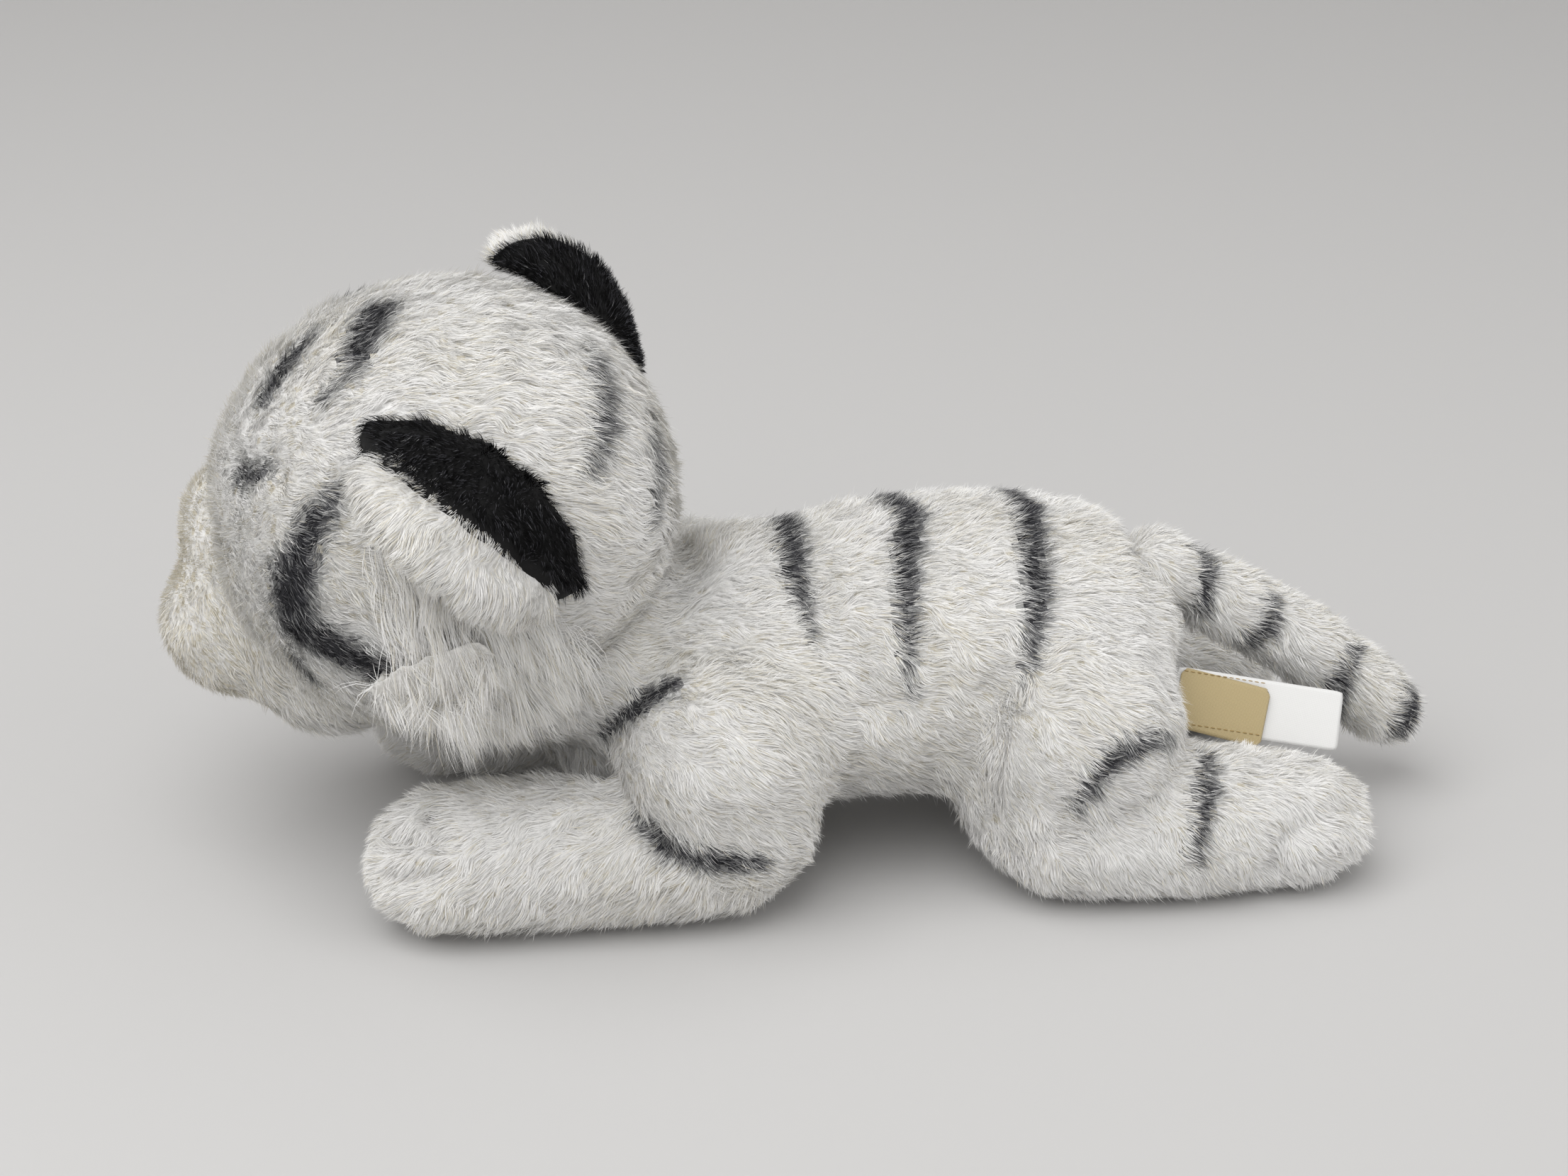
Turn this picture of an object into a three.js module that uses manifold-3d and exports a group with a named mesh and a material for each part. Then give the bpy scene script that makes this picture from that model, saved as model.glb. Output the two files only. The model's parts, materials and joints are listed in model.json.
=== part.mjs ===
// A plush tiger cub that lies on its belly, about 300 mm from nose to tail tip.
// It is built the way a sewn toy is: fur panels with a seam gap between them, closed over stuffing.
// The toy looks along -X, its left side is -Y, and +Z is up. Lengths are millimetres, angles degrees.

import * as THREE from 'three';
import { mergeVertices } from 'three/addons/utils/BufferGeometryUtils.js';
import Module from 'manifold-3d';

const wasm = await Module();
wasm.setup();

// Fabric and fits
const pile = 3;            // backing and pile of one fur panel
const swingRoom = 0.7;     // spare room between the body and what swings beside it
const seamGap = 0.3;       // between any two pieces that touch
const restFlat = 0.5;      // how deep a resting paw is pressed flat
const labelCloth = 0.8;
const beyond = 600;        // reach of a cutting block past the toy

// Body
const body = {
  length: 168,             // chest to rump
  frontX: -71,
  girth: 90,               // full width at the haunch
  depth: 74,               // full height at the haunch
  riseZ: 49,               // height of the body's middle
  gussetWidth: 36,
  gussetInset: 14,         // from each end of the body to the gusset's points
  pouchLength: 70,
  pouchWidth: 40,
  pouchHeight: 24,
};

// Head, in its own frame: the ball's centre is the neck's turning point
const head = {
  ball: 57.5,
  centre: new THREE.Vector3(-82, 0, 95.5),
  yaw: -22,
  nod: -10,
  roll: 3,
  crownFlatShare: 0.07,    // how much lower the crown is than the ball
  crownWidth: 30,
  neckRadius: 30,
  neckAim: new THREE.Vector3(42, 0, -45),
};

const muzzle = {
  reach: 80,               // ball centre to the tip of the muzzle
  start: 12,
  setback: 5,              // from the tip back to the nose's bridge
  width: 52,
  height: 50,
  drop: 27,
  padLength: 46,
  padWidth: 36,
  padHeight: 42,
  padSpread: 13,
  seamReach: 50,           // ball centre to where the muzzle panel is sewn on
  seamTilt: 22,
  lipDrop: 38,             // seam between the muzzle and chin panels
};

const bridge = muzzle.reach - muzzle.setback;

const nose = { width: 17, height: 11, depth: 8, sunk: 3 };

const eye = {
  radius: 6.5,
  dome: 3.6,
  flange: 1,
  stem: 1.6,
  stemLength: 8,
  washerRadius: 5.5,
  washerThickness: 1.4,
  sunk: 2.6,               // how deep it sits in the fur
  spread: 15,              // degrees to each side of the nose
  lift: 15,                // degrees above the nose
};

const ear = {
  width: 60,
  height: 23,
  cup: 42,                 // radius of the cupped shell
  backCloth: 3.4,
  frontCloth: 4,
  frontInset: 3,           // the white front is narrower than the back
  frontProud: 3,           // and shows past its rim
  behind: 47,              // degrees behind straight sideways
  lift: 25,                // degrees above straight sideways
  bend: 14,                // degrees that it bends each way
};

// Each ear's cup opens a little down from straight ahead, and the ear hangs over, in degrees.
const earPose = {
  left: { facing: 57, hang: 45 },
  right: { facing: 14, hang: 45 },
};

const ruff = { width: 40, thickness: 16, top: -6, hang: 36, back: 15, overLeg: 2 };

// Legs. Each starts as a ball in a socket of the body and runs to its paw. The forelegs'
// lengths along the toy start at the chest, the hind legs' and the tail's at the rump.
const rumpX = body.frontX + body.length;
const foreleg = {
  startX: body.frontX,
  ballRadius: 25,
  root: 51, rootY: 37, rootZ: 43,
  elbowY: 39,
  paw: -36, pawY: 40,
  thickness: 41,
  pawThickness: 37,
  heel: 72,                // how far back the bent leg reaches
  out: 18, in: 4,          // degrees that the leg swings each way
};

const hindleg = {
  startX: rumpX,
  ballRadius: 27,
  root: -31, rootY: 33, rootZ: 41,
  elbowY: 39,
  paw: 45, pawY: 42,
  thickness: 42,
  pawThickness: 31,
  heel: -55,
  out: 16, in: 2,
};

const tail = {
  radius: 11.5,
  root: -3, rootZ: 67,
  tip: 69, tipZ: 16,
  droop: 5,
  lift: 25,                // degrees that it can be raised
};

const goldLabel = { width: 24, height: 15 };
const careLabel = { width: 44, height: 15 };
const labelPlace = { x: -2.5, y: 23, z: 42.5, droop: 13, lean: 30 };

// Outlines, as shares of the sizes above. A spine point is [along, up].
const bodySpineShares = [[0, -0.1], [0.3, -0.04], [0.65, 0.02], [0.88, -0.02], [1, -0.12]];
const bodyWidthShares = [0.6, 0.9, 0.94, 1, 1.02, 0.9];
const bodyHeightShares = [0.6, 0.92, 0.96, 1, 1, 0.86];
const bodyFrontCapShare = 0.35;
const bodyRumpCapShare = 0.3;
const pouchRiseShare = 0.33;
const muzzleSpineShares = [[0, 0.5], [0.5, 0.85], [1, 1]];
const muzzleWidthShares = [0.95, 1, 0.9];
const muzzleHeightShares = [0.95, 1, 0.86];
const ruffWidthShares = [0.7, 1, 0.6];
const ruffLeanShare = 0.86;
const ruffSunkShare = 0.25;
const rimShare = 0.4;         // how much of the fur's thickness stays around a socket's rim
const noseLiftShare = 0.14;
const eyeRoughness = 0.15;
const tailBall = tail.radius / Math.cos(THREE.MathUtils.degToRad(tail.lift) / 2);

// How finely each form is divided
const facetSlack = 0.12;   // how far a merged facet may stray from its surface
const stuffingGap = 0.5;   // between the stuffing and the lining
const sweepSteps = 2;      // stops at which a swinging piece is kept clear
const innerShare = 0.6;    // how much less finely hidden faces are divided
const headSides = 22;
const rodSides = 12;
const limbRings = 8;
const limbSides = 12;
const bodyRings = 12;
const bodySides = 16;
const ballSides = 22;       // where a ball turns in its socket
const plainSides = 12;
const earSides = 18;
const neckSides = 32;
const gussetSteps = 6;

const fur = { white: 0xf1efea, cream: 0xe6dfd0, black: 0x121314, gold: 0xd9c07a };

// Turning meshes into solids that can be cut, and back

const toRadians = THREE.MathUtils.degToRad;

function weld(geometry) {
  const bare = geometry.clone();
  bare.deleteAttribute('normal');
  bare.deleteAttribute('uv');
  return mergeVertices(bare);
}

function solid(geometry, matrix = new THREE.Matrix4()) {
  const welded = weld(geometry);
  welded.applyMatrix4(matrix);
  return new wasm.Manifold(new wasm.Mesh({
    numProp: 3,
    vertProperties: new Float32Array(welded.attributes.position.array),
    triVerts: new Uint32Array(welded.index.array),
  }));
}

function piece(name, shape, color, roughness = 0.95) {
  const mesh = shape.simplify(facetSlack).getMesh();
  const geometry = new THREE.BufferGeometry();
  geometry.setAttribute('position', new THREE.BufferAttribute(mesh.vertProperties, 3));
  geometry.setIndex(new THREE.BufferAttribute(mesh.triVerts, 1));
  geometry.computeVertexNormals();
  const material = new THREE.MeshStandardMaterial({ color, roughness, metalness: 0 });
  const node = new THREE.Mesh(geometry, material);
  node.name = name;
  return node;
}

// Moves every point along the surface's own normal, so a lining keeps an even distance
function swell(geometry, amount) {
  const welded = weld(geometry);
  welded.computeVertexNormals();
  const { position, normal } = welded.attributes;
  for (let i = 0; i < position.count; i += 1) {
    position.setXYZ(
      i,
      position.getX(i) + amount * normal.getX(i),
      position.getY(i) + amount * normal.getY(i),
      position.getZ(i) + amount * normal.getZ(i),
    );
  }
  return welded;
}

function place(position, yaw = 0, nod = 0, roll = 0) {
  const turn = new THREE.Euler(toRadians(roll), toRadians(nod), toRadians(yaw), 'ZYX');
  return new THREE.Matrix4().makeRotationFromEuler(turn).setPosition(position);
}

// Everything on the side of a plane that its normal points to
function side(normal, point) {
  const toward = normal.clone().normalize();
  const turn = new THREE.Quaternion().setFromUnitVectors(new THREE.Vector3(0, 0, 1), toward);
  const centre = point.clone().addScaledVector(toward, beyond / 2);
  const matrix = new THREE.Matrix4().compose(centre, turn, new THREE.Vector3(1, 1, 1));
  return solid(new THREE.BoxGeometry(beyond, beyond, beyond), matrix);
}

// Cuts a shape in two at a plane and leaves the seam gap between the halves
function seam(shape, normal, point) {
  const toward = normal.clone().normalize();
  const away = toward.clone().negate();
  const ahead = point.clone().addScaledVector(toward, seamGap / 2);
  const astern = point.clone().addScaledVector(away, seamGap / 2);
  return [shape.intersect(side(toward, ahead)), shape.intersect(side(away, astern))];
}

// A ball whose flat facets still lie outside the given radius
function ball(radius, centre, outside = false, sides = ballSides) {
  const facet = Math.PI / sides;
  const grown = outside ? radius / (Math.cos(facet) * Math.cos(facet)) : radius;
  const geometry = new THREE.SphereGeometry(grown, sides, sides / 2);
  return solid(geometry, new THREE.Matrix4().setPosition(centre));
}

// A closed bag along a curve. Widths and heights are spread evenly along it, and both ends are round.
function bag({ spine, widths, heights, rings, sides, startCap, endCap, across }) {
  const curve = new THREE.CatmullRomCurve3(spine);
  const length = curve.getLength();
  const widthCurve = new THREE.SplineCurve(widths.map((w, i) => new THREE.Vector2(i, w)));
  const heightCurve = new THREE.SplineCurve(heights.map((h, i) => new THREE.Vector2(i, h)));
  const cap = (way, reach) => (way < reach ? Math.sqrt(1 - (1 - way / reach) ** 2) : 1);
  const points = [];
  for (let ring = 0; ring <= rings; ring += 1) {
    const share = (1 - Math.cos((Math.PI * ring) / rings)) / 2;
    const centre = curve.getPointAt(share);
    const along = curve.getTangentAt(share);
    const lateral = across.clone().addScaledVector(along, -across.dot(along)).normalize();
    const upright = new THREE.Vector3().crossVectors(along, lateral);
    const round = cap(share * length, startCap) * cap((1 - share) * length, endCap);
    const halfWidth = (round * widthCurve.getPoint(share).y) / 2;
    const halfHeight = (round * heightCurve.getPoint(share).y) / 2;
    const count = ring === 0 || ring === rings ? 1 : sides;
    for (let i = 0; i < count; i += 1) {
      const angle = (2 * Math.PI * i) / sides;
      const point = centre.clone();
      if (count > 1) {
        point.addScaledVector(lateral, halfWidth * Math.cos(angle));
        point.addScaledVector(upright, halfHeight * Math.sin(angle));
      }
      points.push(point);
    }
  }
  return skinned(points, rings, sides);
}

// Joins a first pole, rings of equal count and a last pole into one closed mesh
function skinned(points, rings, sides) {
  const index = [];
  const at = (ring, i) => 1 + (ring - 1) * sides + (i % sides);
  const last = points.length - 1;
  for (let i = 0; i < sides; i += 1) {
    index.push(0, at(1, i + 1), at(1, i));
    index.push(last, at(rings - 1, i), at(rings - 1, i + 1));
    for (let ring = 1; ring < rings - 1; ring += 1) {
      index.push(at(ring, i), at(ring, i + 1), at(ring + 1, i));
      index.push(at(ring, i + 1), at(ring + 1, i + 1), at(ring + 1, i));
    }
  }
  const geometry = new THREE.BufferGeometry().setFromPoints(points);
  geometry.setIndex(index);
  return geometry;
}

// Inner faces are hidden, so they are divided less finely
function divisions(count, inner) {
  return inner ? 2 * Math.round((count * innerShare) / 2) : count;
}

// Skin and stuffing of one closed form, which is given as a function of how finely to divide it
function stuffed(makeForm) {
  const inside = makeForm(true);
  const lining = solid(swell(inside, -pile));
  const filling = solid(swell(inside, -pile - stuffingGap));
  return { skin: solid(makeForm(false)).subtract(lining), filling };
}

// A solid that another piece must stay out of while it turns about a line
function keepout(form, grow, pivot, axis, from, to) {
  const grown = solid(swell(form, grow));
  const away = new THREE.Matrix4().makeTranslation(pivot);
  const home = away.clone().invert();
  const turned = [];
  for (let step = 0; step <= sweepSteps; step += 1) {
    const angle = -toRadians(from + ((to - from) * step) / sweepSteps);
    const turn = new THREE.Matrix4().makeRotationAxis(axis, angle);
    const matrix = away.clone().multiply(turn).multiply(home);
    turned.push(grown.transform(matrix.elements));
  }
  return wasm.Manifold.union(turned);
}

// An upright prism over a pointed oval, for the gussets. It reaches up or down from a height.
function ovalPrism(fromX, toX, width, z, up, grow) {
  const shape = new THREE.Shape();
  const middle = (fromX + toX) / 2;
  const halfWidth = width / 2 + grow;
  shape.moveTo(fromX - grow, 0);
  shape.quadraticCurveTo(middle, 2 * halfWidth, toX + grow, 0);
  shape.quadraticCurveTo(middle, -2 * halfWidth, fromX - grow, 0);
  const geometry = new THREE.ExtrudeGeometry(shape, {
    depth: beyond, bevelEnabled: false, curveSegments: gussetSteps,
  });
  const start = up ? z - grow : z + grow - beyond;
  return solid(geometry, new THREE.Matrix4().makeTranslation(0, 0, start));
}

const quarterTurn = 90;
const upward = new THREE.Vector3(0, 0, 1);
const sideways = new THREE.Vector3(0, 1, 0);

// The body's outer form: a long bag, fuller at the haunch than behind the forelegs
function bodyForm(inner) {
  const { length, frontX, girth, depth, riseZ } = body;
  const along = (share) => frontX + share * length;
  return bag({
    spine: bodySpineShares.map(([x, z]) => new THREE.Vector3(along(x), 0, riseZ + z * depth)),
    widths: bodyWidthShares.map((share) => share * girth),
    heights: bodyHeightShares.map((share) => share * depth),
    rings: divisions(bodyRings, inner),
    sides: divisions(bodySides, inner),
    startCap: girth * bodyFrontCapShare,
    endCap: girth * bodyRumpCapShare,
    across: sideways,
  });
}

// A coarser body that lies wholly outside the real one, to clear the limbs from it
function bodyClearForm() {
  const facet = Math.PI / divisions(bodySides, true);
  return swell(bodyForm(true), (body.girth / 2) * (1 - Math.cos(facet)) + swingRoom);
}

// The head's ball with its flatter crown. Its lower half stays a true ball, so it turns in the neck.
function headBallForm(inner) {
  const sides = divisions(headSides, inner);
  const geometry = weld(new THREE.SphereGeometry(1, sides, sides / 2));
  const { position } = geometry.attributes;
  for (let i = 0; i < position.count; i += 1) {
    const way = new THREE.Vector3().fromBufferAttribute(position, i);
    position.setXYZ(i, ...way.multiplyScalar(headReach(way)).toArray());
  }
  return geometry;
}

function headReach(way) {
  return head.ball * (1 - head.crownFlatShare * Math.max(0, way.z) ** 2);
}

function muzzleForm(inner) {
  const { start, width, height, drop } = muzzle;
  return bag({
    spine: muzzleSpineShares.map(([out, down]) => (
      new THREE.Vector3(-start - out * (bridge - start), 0, -down * drop))),
    widths: muzzleWidthShares.map((share) => share * width),
    heights: muzzleHeightShares.map((share) => share * height),
    rings: divisions(limbRings, inner),
    sides: divisions(limbSides, inner),
    startCap: height / 2,
    endCap: height / 2,
    across: sideways,
  });
}

// One of the two whisker pads that puff out beside the nose
function padForm(left, inner) {
  const { reach, drop, padWidth, padHeight, padLength, padSpread } = muzzle;
  const sides = divisions(limbSides, inner);
  const geometry = new THREE.SphereGeometry(1, sides, divisions(limbRings, inner));
  const centre = new THREE.Vector3(padLength / 2 - reach, legSide(left) * padSpread, -drop);
  geometry.applyMatrix4(new THREE.Matrix4().makeScale(padLength / 2, padWidth / 2, padHeight / 2));
  geometry.applyMatrix4(new THREE.Matrix4().makeTranslation(centre));
  return weld(geometry);
}

const headMatrix = place(head.centre, head.yaw, head.nod, head.roll);
const inHead = (shape) => shape.transform(headMatrix.elements);

// A direction from the ball's centre: degrees round from the nose to the toy's left, and degrees up
function headWay(round, up) {
  const level = Math.cos(toRadians(up));
  return new THREE.Vector3(
    -level * Math.cos(toRadians(round)),
    -level * Math.sin(toRadians(round)),
    Math.sin(toRadians(up)),
  );
}

// Turns a shape made along +Z so that it stands on the head along a direction
function standing(shape, way, distance) {
  const turn = new THREE.Quaternion().setFromUnitVectors(upward, way);
  const at = way.clone().multiplyScalar(distance);
  const matrix = new THREE.Matrix4().compose(at, turn, new THREE.Vector3(1, 1, 1));
  return shape.transform(matrix.elements);
}

function rod(radius, fromZ, toZ) {
  const geometry = new THREE.CylinderGeometry(radius, radius, toZ - fromZ, rodSides);
  geometry.rotateX(Math.PI / 2);
  return solid(geometry, new THREE.Matrix4().makeTranslation(0, 0, (fromZ + toZ) / 2));
}

// Body parts

function legSide(left) {
  return left ? -1 : 1;
}

// A leg's lower part: a tapered bag from its bend to its paw, lying on the ground
function shankForm(leg, left, inner) {
  const way = legSide(left);
  const rear = new THREE.Vector3(leg.startX + leg.heel, way * leg.elbowY, leg.thickness / 2);
  const paw = pawPlace(leg, left).setZ(leg.pawThickness / 2);
  return bag({
    spine: [rear, rear.clone().lerp(paw, 1 / 2), paw],
    widths: [leg.thickness, leg.thickness, leg.pawThickness],
    heights: [leg.thickness, leg.thickness, leg.pawThickness],
    rings: divisions(limbRings, inner),
    sides: divisions(limbSides, inner),
    startCap: leg.thickness / 2,
    endCap: leg.pawThickness / 2,
    across: sideways,
  });
}

function legRoot(leg, left) {
  return new THREE.Vector3(leg.startX + leg.root, legSide(left) * leg.rootY, leg.rootZ);
}

function pawPlace(leg, left) {
  return new THREE.Vector3(leg.startX + leg.paw, legSide(left) * leg.pawY, 0);
}

function tailRoot() {
  return new THREE.Vector3(rumpX + tail.root, 0, tail.rootZ);
}

// The leg's range about the upright line through its root, in degrees
function legSwing(leg, left) {
  const pointsBack = leg.paw > leg.root;
  return left === pointsBack ? [-leg.out, leg.in] : [-leg.in, leg.out];
}

// One leg: a ball that sits in the body's socket, joined to the shank that stays clear of the body
function makeLeg(name, leg, left, shell) {
  const root = legRoot(leg, left);
  const swing = legSwing(leg, left);
  const layer = (inset) => {
    const shank = shankForm(leg, left, inset > 0);
    const clear = keepout(shell, seamGap + inset * rimShare, root, upward, ...swing);
    const sides = inset === 0 ? ballSides : plainSides;
    const rootBall = ball(leg.ballRadius - inset, root, false, sides);
    return solid(swell(shank, -inset)).subtract(clear).add(rootBall);
  };
  const ground = side(upward, new THREE.Vector3(0, 0, restFlat));
  const outer = layer(0).intersect(ground);
  const skin = outer.subtract(layer(pile));
  const filling = layer(pile + stuffingGap);
  const along = pawPlace(leg, left).sub(root).setZ(0);
  const outwards = new THREE.Vector3().crossVectors(upward, along);
  if (outwards.y * legSide(left) < 0) outwards.negate();
  const [outerPanel, innerPanel] = seam(skin, outwards, root);
  return [
    piece(`${name}_outer_panel`, outerPanel, fur.white),
    piece(`${name}_inner_panel`, innerPanel, fur.white),
    piece(`${name}_stuffing`, filling, fur.cream),
  ];
}

function tailForm(inner) {
  const { radius, tipZ, droop } = tail;
  const root = tailRoot();
  const tip = new THREE.Vector3(rumpX + tail.tip, 0, tipZ);
  const middle = root.clone().lerp(tip, 1 / 2).add(new THREE.Vector3(0, 0, droop));
  return bag({
    spine: [root, middle, tip],
    widths: [radius * 2, radius * 2],
    heights: [radius * 2, radius * 2],
    rings: divisions(limbRings, inner),
    sides: divisions(limbSides, inner),
    startCap: radius,
    endCap: radius,
    across: sideways,
  });
}

function makeTail(shell) {
  const root = tailRoot();
  const layer = (inset) => {
    const form = tailForm(inset > 0);
    const clear = keepout(shell, seamGap + inset * rimShare, root, sideways, -tail.lift, 0);
    const sides = inset === 0 ? ballSides : plainSides;
    const rootBall = ball(tailBall - inset, root, false, sides);
    return solid(swell(form, -inset)).subtract(clear).add(rootBall);
  };
  const skin = layer(0).subtract(layer(pile));
  const [right, left] = seam(skin, sideways, root);
  return [
    piece('tail_left_panel', left, fur.white),
    piece('tail_right_panel', right, fur.white),
    piece('tail_stuffing', layer(pile + stuffingGap), fur.cream),
  ];
}

// The two labels lie over each other and lean on the haunch. Their sewn edge is the hinge.
function makeLabels() {
  const { x, y, z, droop, lean } = labelPlace;
  const seat = place(new THREE.Vector3(rumpX + x, -y, z), 0, droop, -lean);
  const strip = (size, layer) => {
    const geometry = new THREE.BoxGeometry(size.width, labelCloth, size.height);
    geometry.translate(size.width / 2, -layer * (labelCloth + seamGap), 0);
    return solid(geometry).transform(seat.elements);
  };
  return { gold: strip(goldLabel, 1), care: strip(careLabel, 0) };
}

// The hollows that the limbs, tail and head turn in
function bodySockets(sides) {
  const sockets = [
    ball(tailBall + seamGap, tailRoot(), true, sides),
    ball(head.ball + pile + 2 * seamGap, head.centre, true, neckSides),
  ];
  for (const leg of [foreleg, hindleg]) {
    for (const left of [true, false]) {
      sockets.push(ball(leg.ballRadius + seamGap, legRoot(leg, left), true, sides));
    }
  }
  return wasm.Manifold.union(sockets);
}

// Body skin, its gusset and filling, with the sockets that the limbs turn in
function makeBody(labels) {
  const { skin, filling } = stuffed(bodyForm);
  const socket = bodySockets(ballSides);
  const { frontX, length, gussetInset, gussetWidth, riseZ } = body;
  const from = frontX + gussetInset;
  const to = frontX + length - gussetInset;
  const under = ovalPrism(from, to, gussetWidth, riseZ, false, 0);
  const around = ovalPrism(from, to, gussetWidth, riseZ, false, seamGap);
  const [right, left] = seam(skin.subtract(around), sideways, new THREE.Vector3());
  const room = filling.subtract(bodySockets(plainSides));
  const pouch = pouchForm(0).intersect(room);
  return [
    piece('body_left_panel', left.subtract(socket).subtract(labels), fur.white),
    piece('body_right_panel', right.subtract(socket), fur.white),
    piece('belly_gusset', skin.intersect(under).subtract(socket), fur.white),
    piece('body_stuffing', room.subtract(pouchForm(seamGap)), fur.cream),
    piece('pellet_pouch', pouch, fur.cream),
  ];
}

// The pellet pouch lies at the bottom of the body, on the belly
function pouchForm(grow) {
  const { frontX, length, riseZ, depth, pouchLength, pouchWidth, pouchHeight } = body;
  const geometry = new THREE.SphereGeometry(1, limbSides, limbRings);
  const size = [pouchLength, pouchWidth, pouchHeight].map((value) => value / 2 + grow);
  const matrix = new THREE.Matrix4().makeScale(...size);
  matrix.setPosition(frontX + length / 2, 0, riseZ - depth / 2 + pouchHeight * pouchRiseShare);
  return solid(geometry, matrix);
}

// The dished panel that closes the body's neck and carries the head
function makeNeckPanel() {
  const inner = ball(head.ball + seamGap, head.centre, true, neckSides);
  const outer = ball(head.ball + seamGap + pile, head.centre, false, neckSides);
  const aim = head.neckAim.clone().normalize();
  const hole = standing(rod(head.neckRadius, 0, beyond), aim, 0);
  const around = hole.translate(head.centre.toArray());
  return piece('neck_panel', outer.subtract(inner).intersect(around), fur.white);
}

// Head parts, all made in the head's own frame

function makeHead(ruffs) {
  const layer = (inset) => {
    const inner = inset > 0;
    const parts = [headBallForm(inner), muzzleForm(inner)];
    parts.push(padForm(true, inner), padForm(false, inner));
    return wasm.Manifold.union(parts.map((form) => solid(swell(form, -inset))));
  };
  const outer = layer(0);
  const skin = outer.subtract(layer(pile));
  const forward = new THREE.Vector3(-Math.cos(toRadians(muzzle.seamTilt)), 0,
    -Math.sin(toRadians(muzzle.seamTilt)));
  const seamPoint = forward.clone().multiplyScalar(muzzle.seamReach);
  const [front, back] = seam(skin, forward, seamPoint);
  const [snout, chin] = seam(front, upward, new THREE.Vector3(0, 0, -muzzle.lipDrop));
  const reach = head.ball;
  const crown = ovalPrism(-reach, reach, head.crownWidth, 0, true, 0);
  const aroundCrown = ovalPrism(-reach, reach, head.crownWidth, 0, true, seamGap);
  const [right, left] = seam(back.subtract(aroundCrown), sideways, new THREE.Vector3());
  const eyes = [true, false].map((isLeft) => makeEye(isLeft));
  const holes = wasm.Manifold.union(eyes.map(({ hole }) => hole));
  const pockets = wasm.Manifold.union(eyes.map(({ pocket }) => pocket));
  const outside = layer(-seamGap);
  const nodes = [
    ['head_left_panel', left.subtract(holes), fur.white],
    ['head_right_panel', right.subtract(holes), fur.white],
    ['crown_gusset', back.intersect(crown), fur.white],
    ['muzzle_panel', snout.subtract(holes), fur.cream],
    ['chin_panel', chin, fur.cream],
    ['head_stuffing', layer(pile + stuffingGap).subtract(holes).subtract(pockets), fur.cream],
    ['nose', noseShape().subtract(outside), fur.black],
  ];
  for (const [index, word] of ['left', 'right'].entries()) {
    nodes.push([`eye_${word}`, eyes[index].button, fur.black]);
    nodes.push([`eye_washer_${word}`, eyes[index].washer, fur.white]);
    nodes.push([`cheek_ruff_${word}`, ruffs[index].subtract(outside), fur.white]);
  }
  return nodes;
}

// A plastic eye: a domed button, its stem through the fur and the washer locked on it inside
function makeEye(left) {
  const way = headWay(left ? eye.spread : -eye.spread, eye.lift);
  const fabric = headReach(way);
  const surface = fabric - eye.sunk;
  const inside = surface - eye.stemLength;
  const dome = new THREE.SphereGeometry(1, rodSides, rodSides / 2);
  const domeSize = new THREE.Matrix4().makeScale(eye.radius, eye.radius, eye.dome);
  const button = standing(solid(dome, domeSize), way, surface + seamGap);
  const stem = standing(rod(eye.stem, inside, surface + eye.flange), way, 0);
  const bore = rod(eye.stem + seamGap, inside - seamGap, surface + eye.flange);
  const rim = rod(eye.radius + seamGap, surface, fabric + eye.dome);

  const seat = fabric - pile - stuffingGap;
  const ring = rod(eye.washerRadius, seat - eye.washerThickness, seat)
    .subtract(rod(eye.stem + seamGap, inside, fabric));
  const floor = seat - eye.washerThickness - seamGap;
  const room = rod(eye.washerRadius + seamGap, floor, fabric);
  const recess = rod(eye.washerRadius + seamGap, floor, seat + seamGap);
  const face = standing(rod(eye.radius, surface + seamGap, surface + seamGap + eye.dome), way, 0);
  return {
    button: button.intersect(face).add(stem),
    washer: standing(ring, way, 0),
    hole: standing(bore.add(rim).add(recess), way, 0),
    pocket: standing(room, way, 0),
  };
}

// The nose: a rounded pad on the tip of the muzzle
function noseShape() {
  const { drop, height } = muzzle;
  const tip = new THREE.Vector3(nose.sunk - bridge, 0, height * noseLiftShare - drop);
  const geometry = new THREE.SphereGeometry(1, rodSides, rodSides / 2);
  const size = new THREE.Matrix4().makeScale(nose.height / 2, nose.width / 2, nose.depth / 2);
  return standing(solid(geometry, size), tip.clone().normalize(), tip.length());
}

// An ear stands on the head along its own direction, with its cup open outwards and forwards
function earMatrix(left) {
  const pose = left ? earPose.left : earPose.right;
  const round = quarterTurn + ear.behind;
  const out = headWay(left ? round : -round, ear.lift);
  const foot = out.clone().multiplyScalar(headReach(out));
  const turn = toRadians(pose.facing);
  const ahead = new THREE.Vector3(-1, 0, 0);
  ahead.addScaledVector(out, -ahead.dot(out)).normalize();
  const down = new THREE.Vector3().crossVectors(out, ahead);
  if (down.z > 0) down.negate();
  const facing = ahead.multiplyScalar(Math.cos(turn)).addScaledVector(down, Math.sin(turn));
  const along = new THREE.Vector3().crossVectors(out, facing);
  const hang = new THREE.Matrix4().makeRotationAxis(along, toRadians(pose.hang));
  out.transformDirection(hang);
  facing.transformDirection(hang);
  return new THREE.Matrix4().makeBasis(along, out, facing).setPosition(foot);
}

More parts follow.
